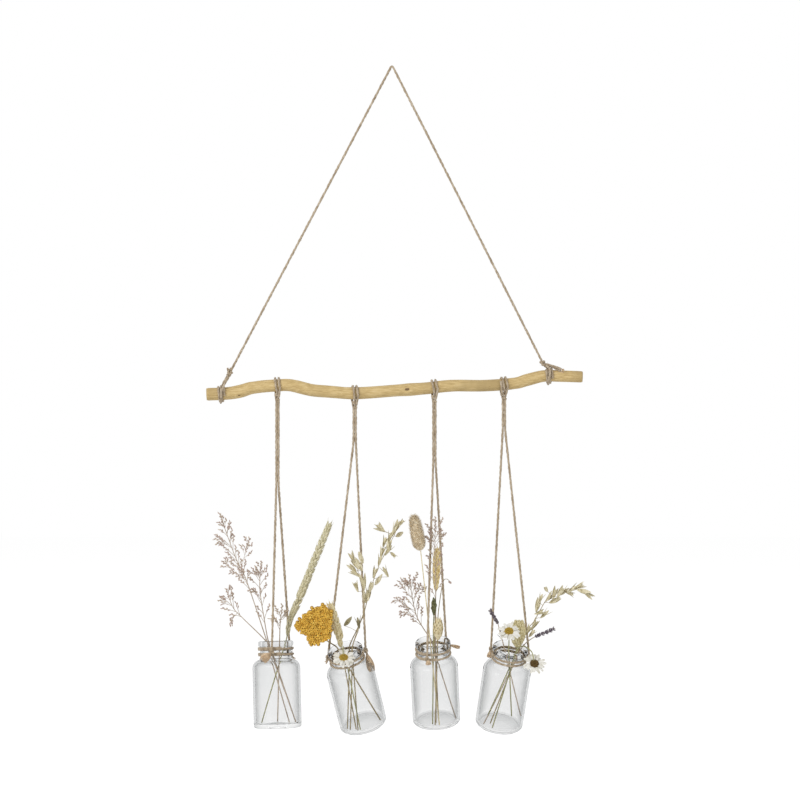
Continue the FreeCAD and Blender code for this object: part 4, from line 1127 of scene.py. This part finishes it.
def grass_ear(name, stem, places, width, rows, material, stem_material, awn, low_share, ranks, lean):
    """A wheat ear: plump grains overlapping in ranks, with short bristles."""
    pile = on_stem(name, stem.line(places[:-1]), stem_material, 1.0)
    base, tip, _, _ = stem.tip_run(places)
    if low_share:
        route = smooth_line(stem.control(places), 1.0)
        route = route[int(len(route) * low_share):]
    else:
        route = smooth_line([base, (base + tip) / 2, tip], 1.0)
    pile.tube(route[::3] + [route[-1]], 0.6, stem_material, 5)
    for row in range(rows):
        t = row / (rows - 1)
        place, way = on_line(route, t * 0.93)
        side = square_to(way, stem.bottle.right)
        other = way.cross(side)
        swell = min(1.0, 0.55 + 1.5 * t) * (1.0 - 0.35 * max(t - 0.75, 0) / 0.25)
        long = min(width * 1.05, 9.0) * (0.8 + 0.2 * swell)
        for angle in angles_round(ranks):
            turn = (HALF_TURN / ranks if row % 2 else 0) + between(-6, 6)
            off = turned(angle + turn, side, other)
            root = place + off * (width * 0.08) + way * between(-0.4, 0.4)
            out = (way + off * (lean * swell)).normalized()
            end = root + out * (long * between(0.92, 1.06))
            pile.grain(root, end, width * 0.46 * swell, material, 7, 0.42)
            if random.random() < 0.85:
                spike = (out * 0.6 + way * 0.7 + off * 0.15).normalized()
                bristle = end + spike * (awn * between(0.5, 1.1))
                line = [end - out * 0.8, (end + bristle) / 2 + off * 0.15, bristle]
                pile.tube(line, [0.2, 0.14, 0.06], material, 3, False)
    pile.done()


def spikelet(pile, root, tip, width, material):
    """An oat spikelet: four long papery scales round a seed."""
    way, length = run_of(root, tip)
    side, other = crosswise(way)
    turn = between(0, FULL_TURN)
    for angle, start, lean, reach, wide, curl, steps in (
        (0, 0.3, 0.16, 0.9, 1.08, -0.10, 6),
        (HALF_TURN, 0.3, 0.16, 0.98, 1.08, -0.10, 6),
        (QUARTER_TURN, 0.25, 0.08, 0.8, 0.82, -0.08, 5),
        (QUARTER_TURN + HALF_TURN, 0.25, 0.08, 0.8, 0.82, -0.08, 5),
    ):
        off = turned(turn + angle, side, other)
        end = root + (way + off * lean).normalized() * (length * reach)
        pile.leaf(root + off * start, end, width * wide, material, off * -1, curl, steps, 0.2)
    pile.grain(root + way * 0.4, root + way * (length * 0.62), width * 0.6, material, 6, 0.45)


def oat(name, stem, places, hung, material="oat"):
    """A stem whose spikelets hang on thin bowed twigs; each is given by where its two ends show."""
    line = stem.line(places)
    pile = on_stem(name, line, "stem", 0.45)
    head = line[4:]
    for k, (across_a, down_a, across_b, down_b) in enumerate(hung):
        depth = min(head, key=lambda p: (p - seen(across_a, down_a, p.y)).length).y
        root = seen(across_a, down_a, depth + 3.0 * sin(k * 2.1))
        tip = seen(across_b, down_b, depth + 5.0 * sin(k * 2.1))
        near = min(head, key=lambda p: (p - root).length + max((p - root).z, 0) * 2)
        if (near - root).length > 1.0:
            pile.tube(bent(near, root, UP * 0.8), 0.22, "stem", 4)
        spikelet(pile, root, root + (tip - root) * 1.08, 4.2, material)
    pile.done()


def petal(pile, root, tip, width, face):
    """A strap-shaped petal with two shallow grooves and a blunt end."""
    way, length = run_of(root, tip)
    side = way.cross(face).normalized()
    lift = side.cross(way)
    bend = between(-0.05, 0.05)
    rows = []
    for t, wide in ((0.0, 0.35), (0.18, 0.75), (0.45, 1.0), (0.72, 0.98), (0.9, 0.8), (1.0, 0.45)):
        middle = root + way * (length * t) + lift * (length * (0.07 * sin(pi * t) + bend * t * t))
        edge, groove, rib = side * (width / 2 * wide), side * (width / 5 * wide), lift * 0.16
        rows.append([middle - edge, middle - groove + rib, middle + groove + rib, middle + edge])
    pile.sheet(rows, "petal")


def daisy(name, stem, places, head, facing, disk="disk", disk_dome=1.5):
    """A daisy: two rings of long petals round a disk of tiny florets, on a bent stem."""
    petals, petal_reach, petal_root, disk_radius, sepals, florets = 16, 12.4, 3.6, 4.6, 14, 130
    centre = stem.at(*head)
    face = Vector(facing).normalized()
    line = stem.line(places, [centre - face * 0.4], 0.5, 1.6)
    pile = on_stem(name, line, "green stem", 1.1)
    across = square_to(face, RIGHT)
    other = face.cross(across)
    for layer, count, lift, share in ((0, petals, 0.0, 1), (1, petals // 2, 0.5, 0.9)):
        for k in range(count):
            off = turned(FULL_TURN * (k + 0.5 * layer) / count + between(-7, 7), across, other)
            size = petal_reach * between(0.84, 1.04) * share
            root = centre + off * petal_root + face * (0.1 + lift)
            tip = centre + off * size + face * (lift + 0.4 + between(-0.20, 0.12) * size)
            petal(pile, root, tip, between(2.9, 3.9), face)
    cup = [centre + face * rise for rise in (-1.6, -0.4, 0.4)]
    pile.tube(cup, [0.9, 3.2, disk_radius], "green stem", sepals)
    for angle in angles_round(sepals):
        off = turned(angle, across, other)
        root = centre - face * 1.3 + off * 0.9
        pile.leaf(root, centre + off * 4.7 - face * 0.1, 1.6, "green stem", face * -1, 0, 3)
    for k in range(florets):
        share = sqrt((k + 0.5) / florets)
        off = turned(GOLDEN_ANGLE * k, across, other) * (4.75 * share)
        rise = 1.05 * disk_dome * (1 - share ** 2.6) + 0.55
        axis = (face + off * 0.09).normalized()
        pile.ball(centre + off + face * rise, 0.36 + 0.1 * share, disk, axis, 1.5)
    dome = [centre + face * rise for rise in (-0.2, 0.6, 0.45 + 0.75 * disk_dome, 0.5 + disk_dome)]
    pile.tube(dome, [disk_radius, disk_radius, 3.1, 0.8], disk, 14)
    pile.done()


def inside_outline(outline, across, down):
    """Whether a place in the front view lies inside a closed outline."""
    hit = False
    for (xa, ya), (xb, yb) in zip(outline, outline[1:] + outline[:1]):
        if (ya > down) != (yb > down) and across < (xb - xa) * (down - ya) / (yb - ya) + xa:
            hit = not hit
    return hit


def yarrow(name, stem, places, head):
    """A broad crowded head: stalks that branch from the stem, a crust of tiny florets and, deep under it,
    beads in a darker painted shade.
    """
    outline = (
        (295, 626.3), (297.3, 621), (305, 614), (314.1, 608), (323.3, 605.2), (327.2, 605.2),
        (328.7, 609.5), (333, 612.6), (333, 621), (331.5, 630.2), (329.4, 638.6), (325.6, 640.1),
        (321, 640.9), (319.5, 644.7), (313.4, 645.5), (308.8, 644), (308, 638.6), (305.7, 634.8),
        (301.1, 631.7), (296.5, 630.2),
    )
    head_middle, head_corner, column_step, row_step, head_radius = (317, 625), (294, 604.5), 1.8, 1.75, 27
    grid = 24
    line = stem.line(places)
    pile = on_stem(name, line, "stem", 1.3, 1.5)
    depth = stem.at(*head).y
    middle = seen(*head_middle, depth)
    spots = []
    for row in range(grid):
        for column in range(grid):
            half_step = column_step / 2 if row % 2 else 0
            across = head_corner[0] + column_step * column + half_step + between(-0.35, 0.35)
            down = head_corner[1] + row_step * row + between(-0.35, 0.35)
            if inside_outline(outline, across + between(-1.2, 1.2), down + between(-1.2, 1.2)):
                spots.append((across, down))
    for across, down in spots:
        flat = seen(across, down, depth)
        off = flat - middle
        dome = sqrt(max(0.0, 1 - (off.length / head_radius) ** 2))
        wave = sin(across * 0.75 + 2 * sin(down * 0.31)) + sin(down * 0.83 + 1.5 * sin(across * 0.4))
        for face in (-1, 1):
            top = flat + BACK * (face * (1.4 + 4.4 * dome + 0.9 * wave) + between(-0.7, 0.7))
            out = (off * 0.03 + BACK * face).normalized()
            side, other = crosswise(out)
            pile.ball(top + out * 0.5, between(0.7, 1.0), "yarrow", out)
            for k in range(4):
                ring = turned(QUARTER_TURN * k + across * 40, side, other)
                spot = top + ring * 0.95 - out * between(0.0, 0.5)
                pile.ball(spot, between(0.5, 0.72), "yarrow", out)
    # Beads deep in the head in a darker tone: painted shade seen through the gaps between florets, which
    # also fills holes
    for k, (across, down) in enumerate(spots[::2]):
        flat = seen(across, down, depth)
        if k % 3 == 0:
            pile.tube(bent(line[-1], flat, UP * -1.5, 4.0), 0.32, "stem", 5)
        pile.ball(flat, 2.1, "yarrow core", BACK, 1.3, 7)
    pile.done()


def egg(pile, middle, shape, width, material, sides):
    """The plain body under hairs or scales."""
    pile.tube([middle(t) for t, _ in shape], [width / 2 * wide * 0.86 for _, wide in shape], material, sides)


def width_at(shape, t):
    """The width at a share of the way along a shape, a table of (share, width)."""
    for (a, low), (b, high) in zip(shape, shape[1:]):
        if a <= t <= b:
            width = low + (high - low) * (t - a) / (b - a)
    return width


def hairy_tail(name, stem, places, width):
    """A soft egg-shaped head of fine hairs."""
    shape = (
        (0, 0.2), (0.03, 0.5), (0.1, 0.76), (0.25, 0.88), (0.5, 0.86),
        (0.72, 0.8), (0.88, 0.62), (0.96, 0.36), (1, 0.08),
    )
    hairs = 2600
    pile = on_stem(name, stem.line(places[:-1]), "wheat", 1.0)
    base, _, way, length = stem.tip_run(places)
    side, other = crosswise(way)

    def middle(t):
        return base + way * (length * (0.02 + t * 0.93))

    egg(pile, middle, shape, width, "bunny", 20)
    for _ in range(hairs):
        t = random.random()
        off = any_turn(side, other)
        root = middle(t) + off * (width / 2 * width_at(shape, t) * 0.8)
        out = (off * between(0.5, 1.0) + way * between(0.5, 1.0)).normalized()
        hair = out * between(1.6, 3.6)
        pile.tube([root, root + hair * 0.55, root + hair + way * 0.5], [0.13, 0.09, 0.03], "bunny", 3, False)
    pile.done()


def scaly_head(pile, stem, run, width, material, rows, around, scale_length, spread, flat=1.0, plump=False):
    """A head of overlapping scales on an egg-shaped body."""
    shape = ((0, 0.3), (0.12, 0.68), (0.35, 0.98), (0.6, 0.95), (0.82, 0.6), (0.95, 0.28), (1, 0.08))
    base, _, way, length = run
    side = square_to(way, stem.bottle.right)
    deep = way.cross(side)

    def middle(t):
        return base + way * (length * t)

    first = len(pile.points)
    egg(pile, middle, shape, width, material, 14)
    for k in range(first, len(pile.points)):
        pile.points[k] = pile.points[k] - deep * ((pile.points[k] - base).dot(deep) * (1 - flat))
    for row in range(rows):
        t = 0.01 + 0.80 * row / (rows - 1)
        thick = width_at(shape, t)
        share_of_ring = width * pi * thick / around
        for k in range(around):
            angle = FULL_TURN * (k + 0.5 * (row % 2)) / around + between(-5, 5)
            off = turned(angle, side, deep * flat)
            root = middle(t) + off * (width / 2 * thick * 0.8)
            reach = scale_length * between(0.9, 1.1)
            end = root + (way + off * (spread * (1 - t))).normalized() * reach + off * 0.4
            if plump:
                pile.grain(root, end, share_of_ring * 1.1, material, 6)
            else:
                pile.leaf(root, end, max(share_of_ring * 1.5, 1.2), material, off, -0.07, 4, 0.3)
    pile.done()


def scaly_flower(name, stem, places, stem_material, *head):
    """A scaly head on a bent stem."""
    pile = on_stem(name, stem.line(places[:-1]), stem_material, 1.1, stem_thickness, 3)
    scaly_head(pile, stem, stem.tip_run(places), *head)


def lavender(name, stem, places, whorls, leafy=False):
    """A dark spike with rings of small pointed buds."""
    line = stem.line(places[:-1])
    pile = on_stem(name, line, "grey stem", 0.9)
    base, tip, way, length = stem.tip_run(places)
    side, other = crosswise(way)
    pile.tube([base, tip], [0.6, 0.35], "grey stem", 6)
    for row in range(whorls * 2):
        t = row / (whorls * 2 - 1) * 0.86
        for angle in angles_round(7):
            off = turned(angle + 26 * row + between(-10, 10), side, other)
            root = base + way * (length * t) + off * 0.5
            out = (way * 0.8 + off * between(0.35, 0.7)).normalized()
            reach = between(2.8, 4.2) * (1.0 if row % 2 else 0.75)
            pile.grain(root, root + out * reach, 1.35, "lavender", 5)
    if leafy:
        for place, reach, turn in ((0.55, 7, 60), (0.62, 6, 200), (0.7, 7, 320)):
            spot, along = on_line(line, place)
            off = turned(turn, side, other)
            pile.leaf(spot, spot + (along + off * 0.5).normalized() * reach, 1.6, "lavender", off, 0.1)
    pile.done()


def curled_stem(name, stem, places, curl):
    """A bare stem that curls over to three small buds."""
    pile = on_stem(name, stem.line(places), "stem", 0.8, 1.2)
    hook = [stem.at(*place) for place in curl]
    pile.tube(smooth_line(hook, 1.0), 0.32, "stem", 6)
    for k in range(3):
        pile.ball(hook[-1] + Vector((0.7 * (k - 1), 0.3 * k, -0.5 * k)), 1.2, "floret", UP, 1.0, 7)
    pile.done()


# Each bottle's flowers. Spikelets are placed by the pixels of their two ends, all else by shares.

def flowers_of_bottle_1(bottle):
    stem = Stem(bottle, (-0.38, -0.17), (0.79, 0.087), 135.0)
    line = ((-0.147, 0, 0.48), (-0.23, 0, 0.67), (-0.34, 0, 1.0))
    sprays = (
        (0.3, -0.20, 0, 0.56), (0.5, -0.117, 0, 0.80), (1 / 3, -0.324, 0, 0.63),
        (2.2 / 3, -0.37, 0, 0.84),
    )
    sea_lavender("sea_lavender_tall", stem, line, sprays)
    stem = Stem(bottle, (-0.30, 0.02), (0.78, 0.087), 83.0)
    line = ((-0.04, 0, 0.25), (-0.09, 0, 0.68), (-0.06, 0, 1))
    sea_lavender("sea_lavender_mid", stem, line, ((0.5, -0.15, 0, 0.66), (0.75, -0.17, 0, 0.92)))
    stem = Stem(bottle, (-0.55, 0.51), (0.47, 0.087), 55.0)
    line = ((-0.45, 0, 0.47), (-0.62, 0, 0.67), (-0.73, 0, 1))
    sea_lavender("sea_lavender_low", stem, line, ((0.5, -0.66, 0, 0.46), (0.7, -0.85, 0, 0.80)))
    stem = Stem(bottle, (0.27, -0.38), (0, 0.087), 37.0)
    sprays = ((0.3, -0.10, 0, 0.62), (0.6, 0.18, 0, 0.70))
    sea_lavender("short_sprig", stem, ((0.03, 0, 0.5), (0.10, 0, 0.98)), sprays, "pale floret", 0.8)
    stem = Stem(bottle, (0.49, 0.31), (-0.73, 0.087), 123.0)
    line = ((0.04, 0, 0.17), (0.115, 0, 0.34), (0.407, 0, 1.0))
    grass_ear("long_wheat_ear", stem, line, 8.6, 42, "green wheat", "green stem", 2.6, 0.06, 3, 0.42)


def flowers_of_bottle_2(bottle):
    stem = Stem(bottle, (-0.34, 0.41), (0.70, 0.13), 57.0)
    yarrow("yarrow", stem, ((-0.13, -0.12, 0.2), (-0.24, -0.32, 0.5)), (-0.27, -0.37, 0.66))
    stem = Stem(bottle, (-0.07, -0.55), (-0.13, 0.2), 16.0)
    line = ((0, -0.12, 0.31), (0, -0.50, 0.5), (-0.05, -0.94, 0.34))
    daisy("mouth_daisy", stem, line, (-0.09, -1.12, 0.06), (0, -0.67, 0.74))
    stem = Stem(bottle, (0.41, -0.36), (-0.13, 0.26), 30.0)
    hung = ((359.3, 628.6, 357.2, 615.6), (344.2, 625.8, 351.8, 617.2))
    oat("single_oat", stem, ((0.2, 0, 0.32), (0.34, 0, 0.5)), hung, "dark oat")
    stem = Stem(bottle, (-0.27, -0.18), (-0.26, 0.43), 46.0)
    line = ((0.01, 0, 0.2), (0.02, 0, 0.3), (-0.01, 0, 1.0))
    grass_ear("short_wheat_ear", stem, line, 9.6, 15, "wheat", "stem", 2.6, 0.08, 4, 0.46)
    stem = Stem(bottle, (0.41, 0.02), (-0.52, 0.13), 98.0)
    line = ((0.12, 0, 0.2), (0.214, 0, 0.367), (0.24, 0, 0.6), (0.235, 0, 0.86))
    hung = (
        (354.9, 563, 349.8, 551.5), (356.2, 571.5, 348, 564.2), (360.4, 577, 349.0, 569.2),
        (362.4, 571, 355.4, 557.5), (358, 592, 354.4, 581), (364.6, 590, 362.2, 572.8),
        (368, 601, 369, 588.8), (365.5, 603, 363.6, 590.5), (363.0, 563.5, 358.6, 551.5),
        (359.2, 569.5, 352.6, 559.5),
    )
    oat("left_oat", stem, line, hung)
    stem = Stem(bottle, (0.21, 0.21), (-0.66, 0.12), 115.0)
    line = (
        (0.1, 0, 0.13), (0.183, 0, 0.243), (0.296, 0, 0.452), (0.43, 0, 0.66), (0.56, 0, 0.82),
        (0.63, 0, 0.90),
    )
    hung = (
        (384.6, 531.4, 376.6, 522.8), (384.8, 531.8, 374.8, 526.4), (391.4, 537, 397.8, 522.6),
        (394.6, 531, 399, 520), (383, 547, 386.4, 535.6), (385, 555.5, 392.4, 543.6),
        (390.6, 552.4, 396.4, 557.8), (380.6, 558, 383.6, 545.6), (378.4, 566, 381.6, 553.6),
        (388.4, 577, 382, 565.2), (375.2, 585, 381.8, 574.4), (369.4, 592.4, 372.4, 581.6),
        (388, 543, 391.8, 530.6), (396.0, 536.6, 403.2, 532.2), (398.9, 525.4, 404.2, 519.4),
        (373, 578, 376.6, 566.5), (366.4, 598, 369.6, 587.6), (387.4, 551, 389.6, 539.6),
    )
    oat("right_oat", stem, line, hung)


def flowers_of_bottle_3(bottle):
    stem = Stem(bottle, (-0.14, -0.49), (0.09, 0.13), 137.0)
    line = ((-0.012, 0, 0.25), (-0.026, 0, 0.5), (-0.039, 0, 0.715), (-0.082, 0, 1.0))
    hairy_tail("bunny_tail", stem, line, 16.0)
    stem = Stem(bottle, (0.07, 0.27), (0.56, 0.37), 71.0)
    line = ((-0.10, 0.02, 0.155), (-0.2, 0.04, 0.36), (-0.25, 0.04, 0.66), (-0.27, 0.04, 0.94))
    sprays = (
        (0.5, -0.42, 0.04, 0.42), (0.55, -0.48, 0.04, 0.62), (0.72, -0.42, 0.04, 0.86),
        (0.7, -0.12, 0.04, 0.80),
    )
    sea_lavender("left_sea_lavender", stem, line, sprays, "floret", 1.4)
    stem = Stem(bottle, (0.14, 0.055), (0.09, 0.2), 93.0)
    line = ((0.02, 0.01, 0.3), (0.043, 0.017, 0.56), (0.076, 0.017, 1.0))
    grass_ear("gold_wheat_ear", stem, line, 8.4, 15, "gold wheat", "stem", 2.0, 0.0, 4, 0.40)
    stem = Stem(bottle, (0.17, -0.18), (0, 0.24), 134.0)
    line = ((0.02, 0, 0.4), (0.03, 0, 0.72), (0.045, 0, 0.97))
    sea_lavender("upright_sea_lavender", stem, line, ((0.68, 0.01, 0, 0.82), (0.75, 0.08, 0, 0.84)))
    stem = Stem(bottle, (0, -0.335), (-0.17, 0.15), 46.0)
    line = ((0.01, -0.01, 0.3), (0.037, -0.024, 0.63), (0.06, -0.024, 1.0))
    scaly_flower("green_bud", stem, line, "green stem", 4.4, "bud", 6, 5, 5.0, 0.2)
    stem = Stem(bottle, (0.27, -0.65), (0, 0.33), 25.0)
    line = ((0.01, -0.06, 0.12), (0.02, -0.11, 0.2), (0.08, -0.11, 1.0))
    scaly_flower("straw_flower", stem, line, "stem", 8.4, "straw", 7, 8, 7.5, 0.5)
    stem = Stem(bottle, (0.31, 0.48), (0, 0.17), 62.0)
    line = ((0.03, 0, 0.4), (0.124, 0, 0.9), (0.17, 0, 1.0))
    curled_stem("curled_stem", stem, line, ((0.17, 0, 1.0), (0.215, 0, 1.0), (0.26, 0, 0.95)))


def flowers_of_bottle_4(bottle):
    stem = Stem(bottle, (0, -0.6), (0.39, 0.33), 24.0)
    line = ((-0.03, -0.1, 0.3), (-0.08, -0.28, 0.7))
    daisy("left_daisy", stem, line, (-0.125, -0.47, 1.0), (-0.08, -0.71, 0.69))
    stem = Stem(bottle, (0.30, -0.42), (-0.52, 0.26), 16.0)
    line = ((0.1, -0.1, 0.25), (0.45, -0.42, 0.44), (0.9, -0.85, 0.3))
    daisy("right_daisy", stem, line, (1.14, -1.0, -0.36), (0.05, -0.80, 0.60), "dark disk", 2.0)
    stem = Stem(bottle, (0.34, -0.27), (-0.26, 0.13), 30.0)
    run = stem.tip_run(((0, 0.05, 0.02), (-0.06, 0.053, 1.0)))
    line = [stem.foot, stem.inside(0.5), stem.rim, run[0]]
    pile = on_stem("canary_grass_ear", line, "green stem", 1.1, stem_thickness, 3)
    scaly_head(pile, stem, run, 15.6, "canary", 9, 13, 5.5, 0.25, 0.36, True)
    stem = Stem(bottle, (0.59, 0.10), (-0.58, 0.15), 26.0)
    lavender("right_lavender", stem, ((0.2, -0.06, 0.3), (0.45, -0.135, 0.55), (1.215, -0.135, 1.0)), 5)
    stem = Stem(bottle, (0.55, 0.22), (-0.39, 0.087), 76.0)
    line = (
        (0.045, 0, 0.22), (0.137, 0, 0.37), (0.20, 0, 0.54), (0.295, 0, 0.737), (0.48, 0, 0.855),
        (0.60, 0, 0.90),
    )
    hung = (
        (583.6, 592, 593.8, 598.2), (573.4, 588.8, 585.4, 583.8), (577, 589.4, 590.6, 593.4),
        (567, 592.4, 578.4, 585.6), (560.6, 595, 570.2, 586.8), (557.6, 597, 563.6, 586.6),
        (552.6, 599, 556.8, 586.8), (549.4, 603, 561, 597.8), (547.6, 591.6, 544.8, 586.8),
        (538.4, 603.4, 543.2, 592.6), (536, 612, 539.6, 597.6), (534.6, 614.2, 545, 611),
        (540.6, 618, 550.2, 609.2), (531.6, 630, 538, 618.8), (525.6, 634.8, 531.6, 624.6),
        (545.6, 601.6, 553.6, 592.6), (565.6, 591.8, 574.8, 595.4), (529, 637, 535.8, 628.6),
    )
    oat("arched_oat", stem, line, hung)
    stem = Stem(bottle, (-0.25, 0.36), (0.39, 0.52), 34.0)
    line = ((-0.15, -0.02, 0.35), (-0.24, -0.04, 0.6), (-0.556, -0.04, 1.0))
    lavender("left_lavender", stem, line, 4, True)


# The whole object

make_stick()
hanger_pieces()
end_tie_piece("end_tie_left", left_tie_share, left_knot)
end_tie_piece("end_tie_right", right_tie_share, right_knot)
flower_makers = (flowers_of_bottle_1, flowers_of_bottle_2, flowers_of_bottle_3, flowers_of_bottle_4)
for number, values in bottles.items():
    vase = Bottle(number, **values)
    hitch_piece(number, vase.share, vase.pivot)
    make_bottle(vase)
    make_sling(vase)
    flower_makers[number - 1](vase)


# Studio: white surroundings, a large soft light from the upper left and a gentle one from the right

def white_seen(tree, strength, seen_as, lit_as):
    """Give a strength one value where the surroundings are seen and another where they light."""
    path = tree.nodes.new("ShaderNodeLightPath")
    total = path.outputs["Is Camera Ray"]
    for name in ("Is Glossy Ray", "Is Transmission Ray"):
        either = tree.nodes.new("ShaderNodeMath")
        either.operation = "MAXIMUM"
        tree.links.new(total, either.inputs[0])
        tree.links.new(path.outputs[name], either.inputs[1])
        total = either.outputs[0]
    scale = tree.nodes.new("ShaderNodeMath")
    scale.operation = "MULTIPLY_ADD"
    tree.links.new(total, scale.inputs[0])
    scale.inputs[1].default_value = seen_as - lit_as
    scale.inputs[2].default_value = lit_as
    tree.links.new(scale.outputs[0], strength)


def area_light(name, place, aim, size, power):
    """A soft square light that shines from a place towards another."""
    lamp = bpy.data.lights.new(name, "AREA")
    lamp.shape = "SQUARE"
    lamp.size = size
    lamp.energy = power
    holder = set_down(name, lamp)
    holder.location = place
    holder.rotation_euler = (Vector(aim) - Vector(place)).to_track_quat("-Z", "Y").to_euler()


world = bpy.data.worlds.new("white studio")
bpy.context.scene.world = world
world.use_nodes = True
background = world.node_tree.nodes["Background"]
background.inputs["Color"].default_value = (1, 1, 1, 1)
white_seen(world.node_tree, background.inputs["Strength"], 1.0, 0.55)

floor_look = Look("white floor")
floor_look.feed(floor_look.shader, Base_Color=(0.9, 0.9, 0.9, 1), Roughness=1.0, Specular_IOR_Level=0.0)
floor_look.feed(floor_look.shader, Emission_Color=(1, 1, 1, 1))
white_seen(floor_look.tree, floor_look.shader.inputs["Emission Strength"], 0.49, 0.0)

floor_mesh = bpy.data.meshes.new("floor")
floor_height = -0.80
floor_half = 5
floor_signs = ((-1, -1), (1, -1), (1, 1), (-1, 1))
floor_corners = [(x * floor_half, y * floor_half, floor_height) for x, y in floor_signs]
floor_mesh.from_pydata(floor_corners, [], [(0, 1, 2, 3)])
floor_mesh.materials.append(floor_look.material)
floor = set_down("floor", floor_mesh)

area_light("key", (-1.3, -1.5, 0.7), (0, 0, -0.45), 1.2, 22.0)
area_light("fill", (1.6, -1.4, 0.0), (0, 0, -0.45), 1.2, 7.0)

lens = bpy.data.cameras.new("camera")
lens.sensor_width = 36
lens.lens = 101.5
camera = set_down("camera", lens)
camera.location = (camera_across * MM, -camera_distance * MM, camera_height * MM)
camera.rotation_euler = (radians(QUARTER_TURN), 0, 0)
bpy.context.scene.camera = camera
bpy.context.scene.view_settings.view_transform = "Standard"
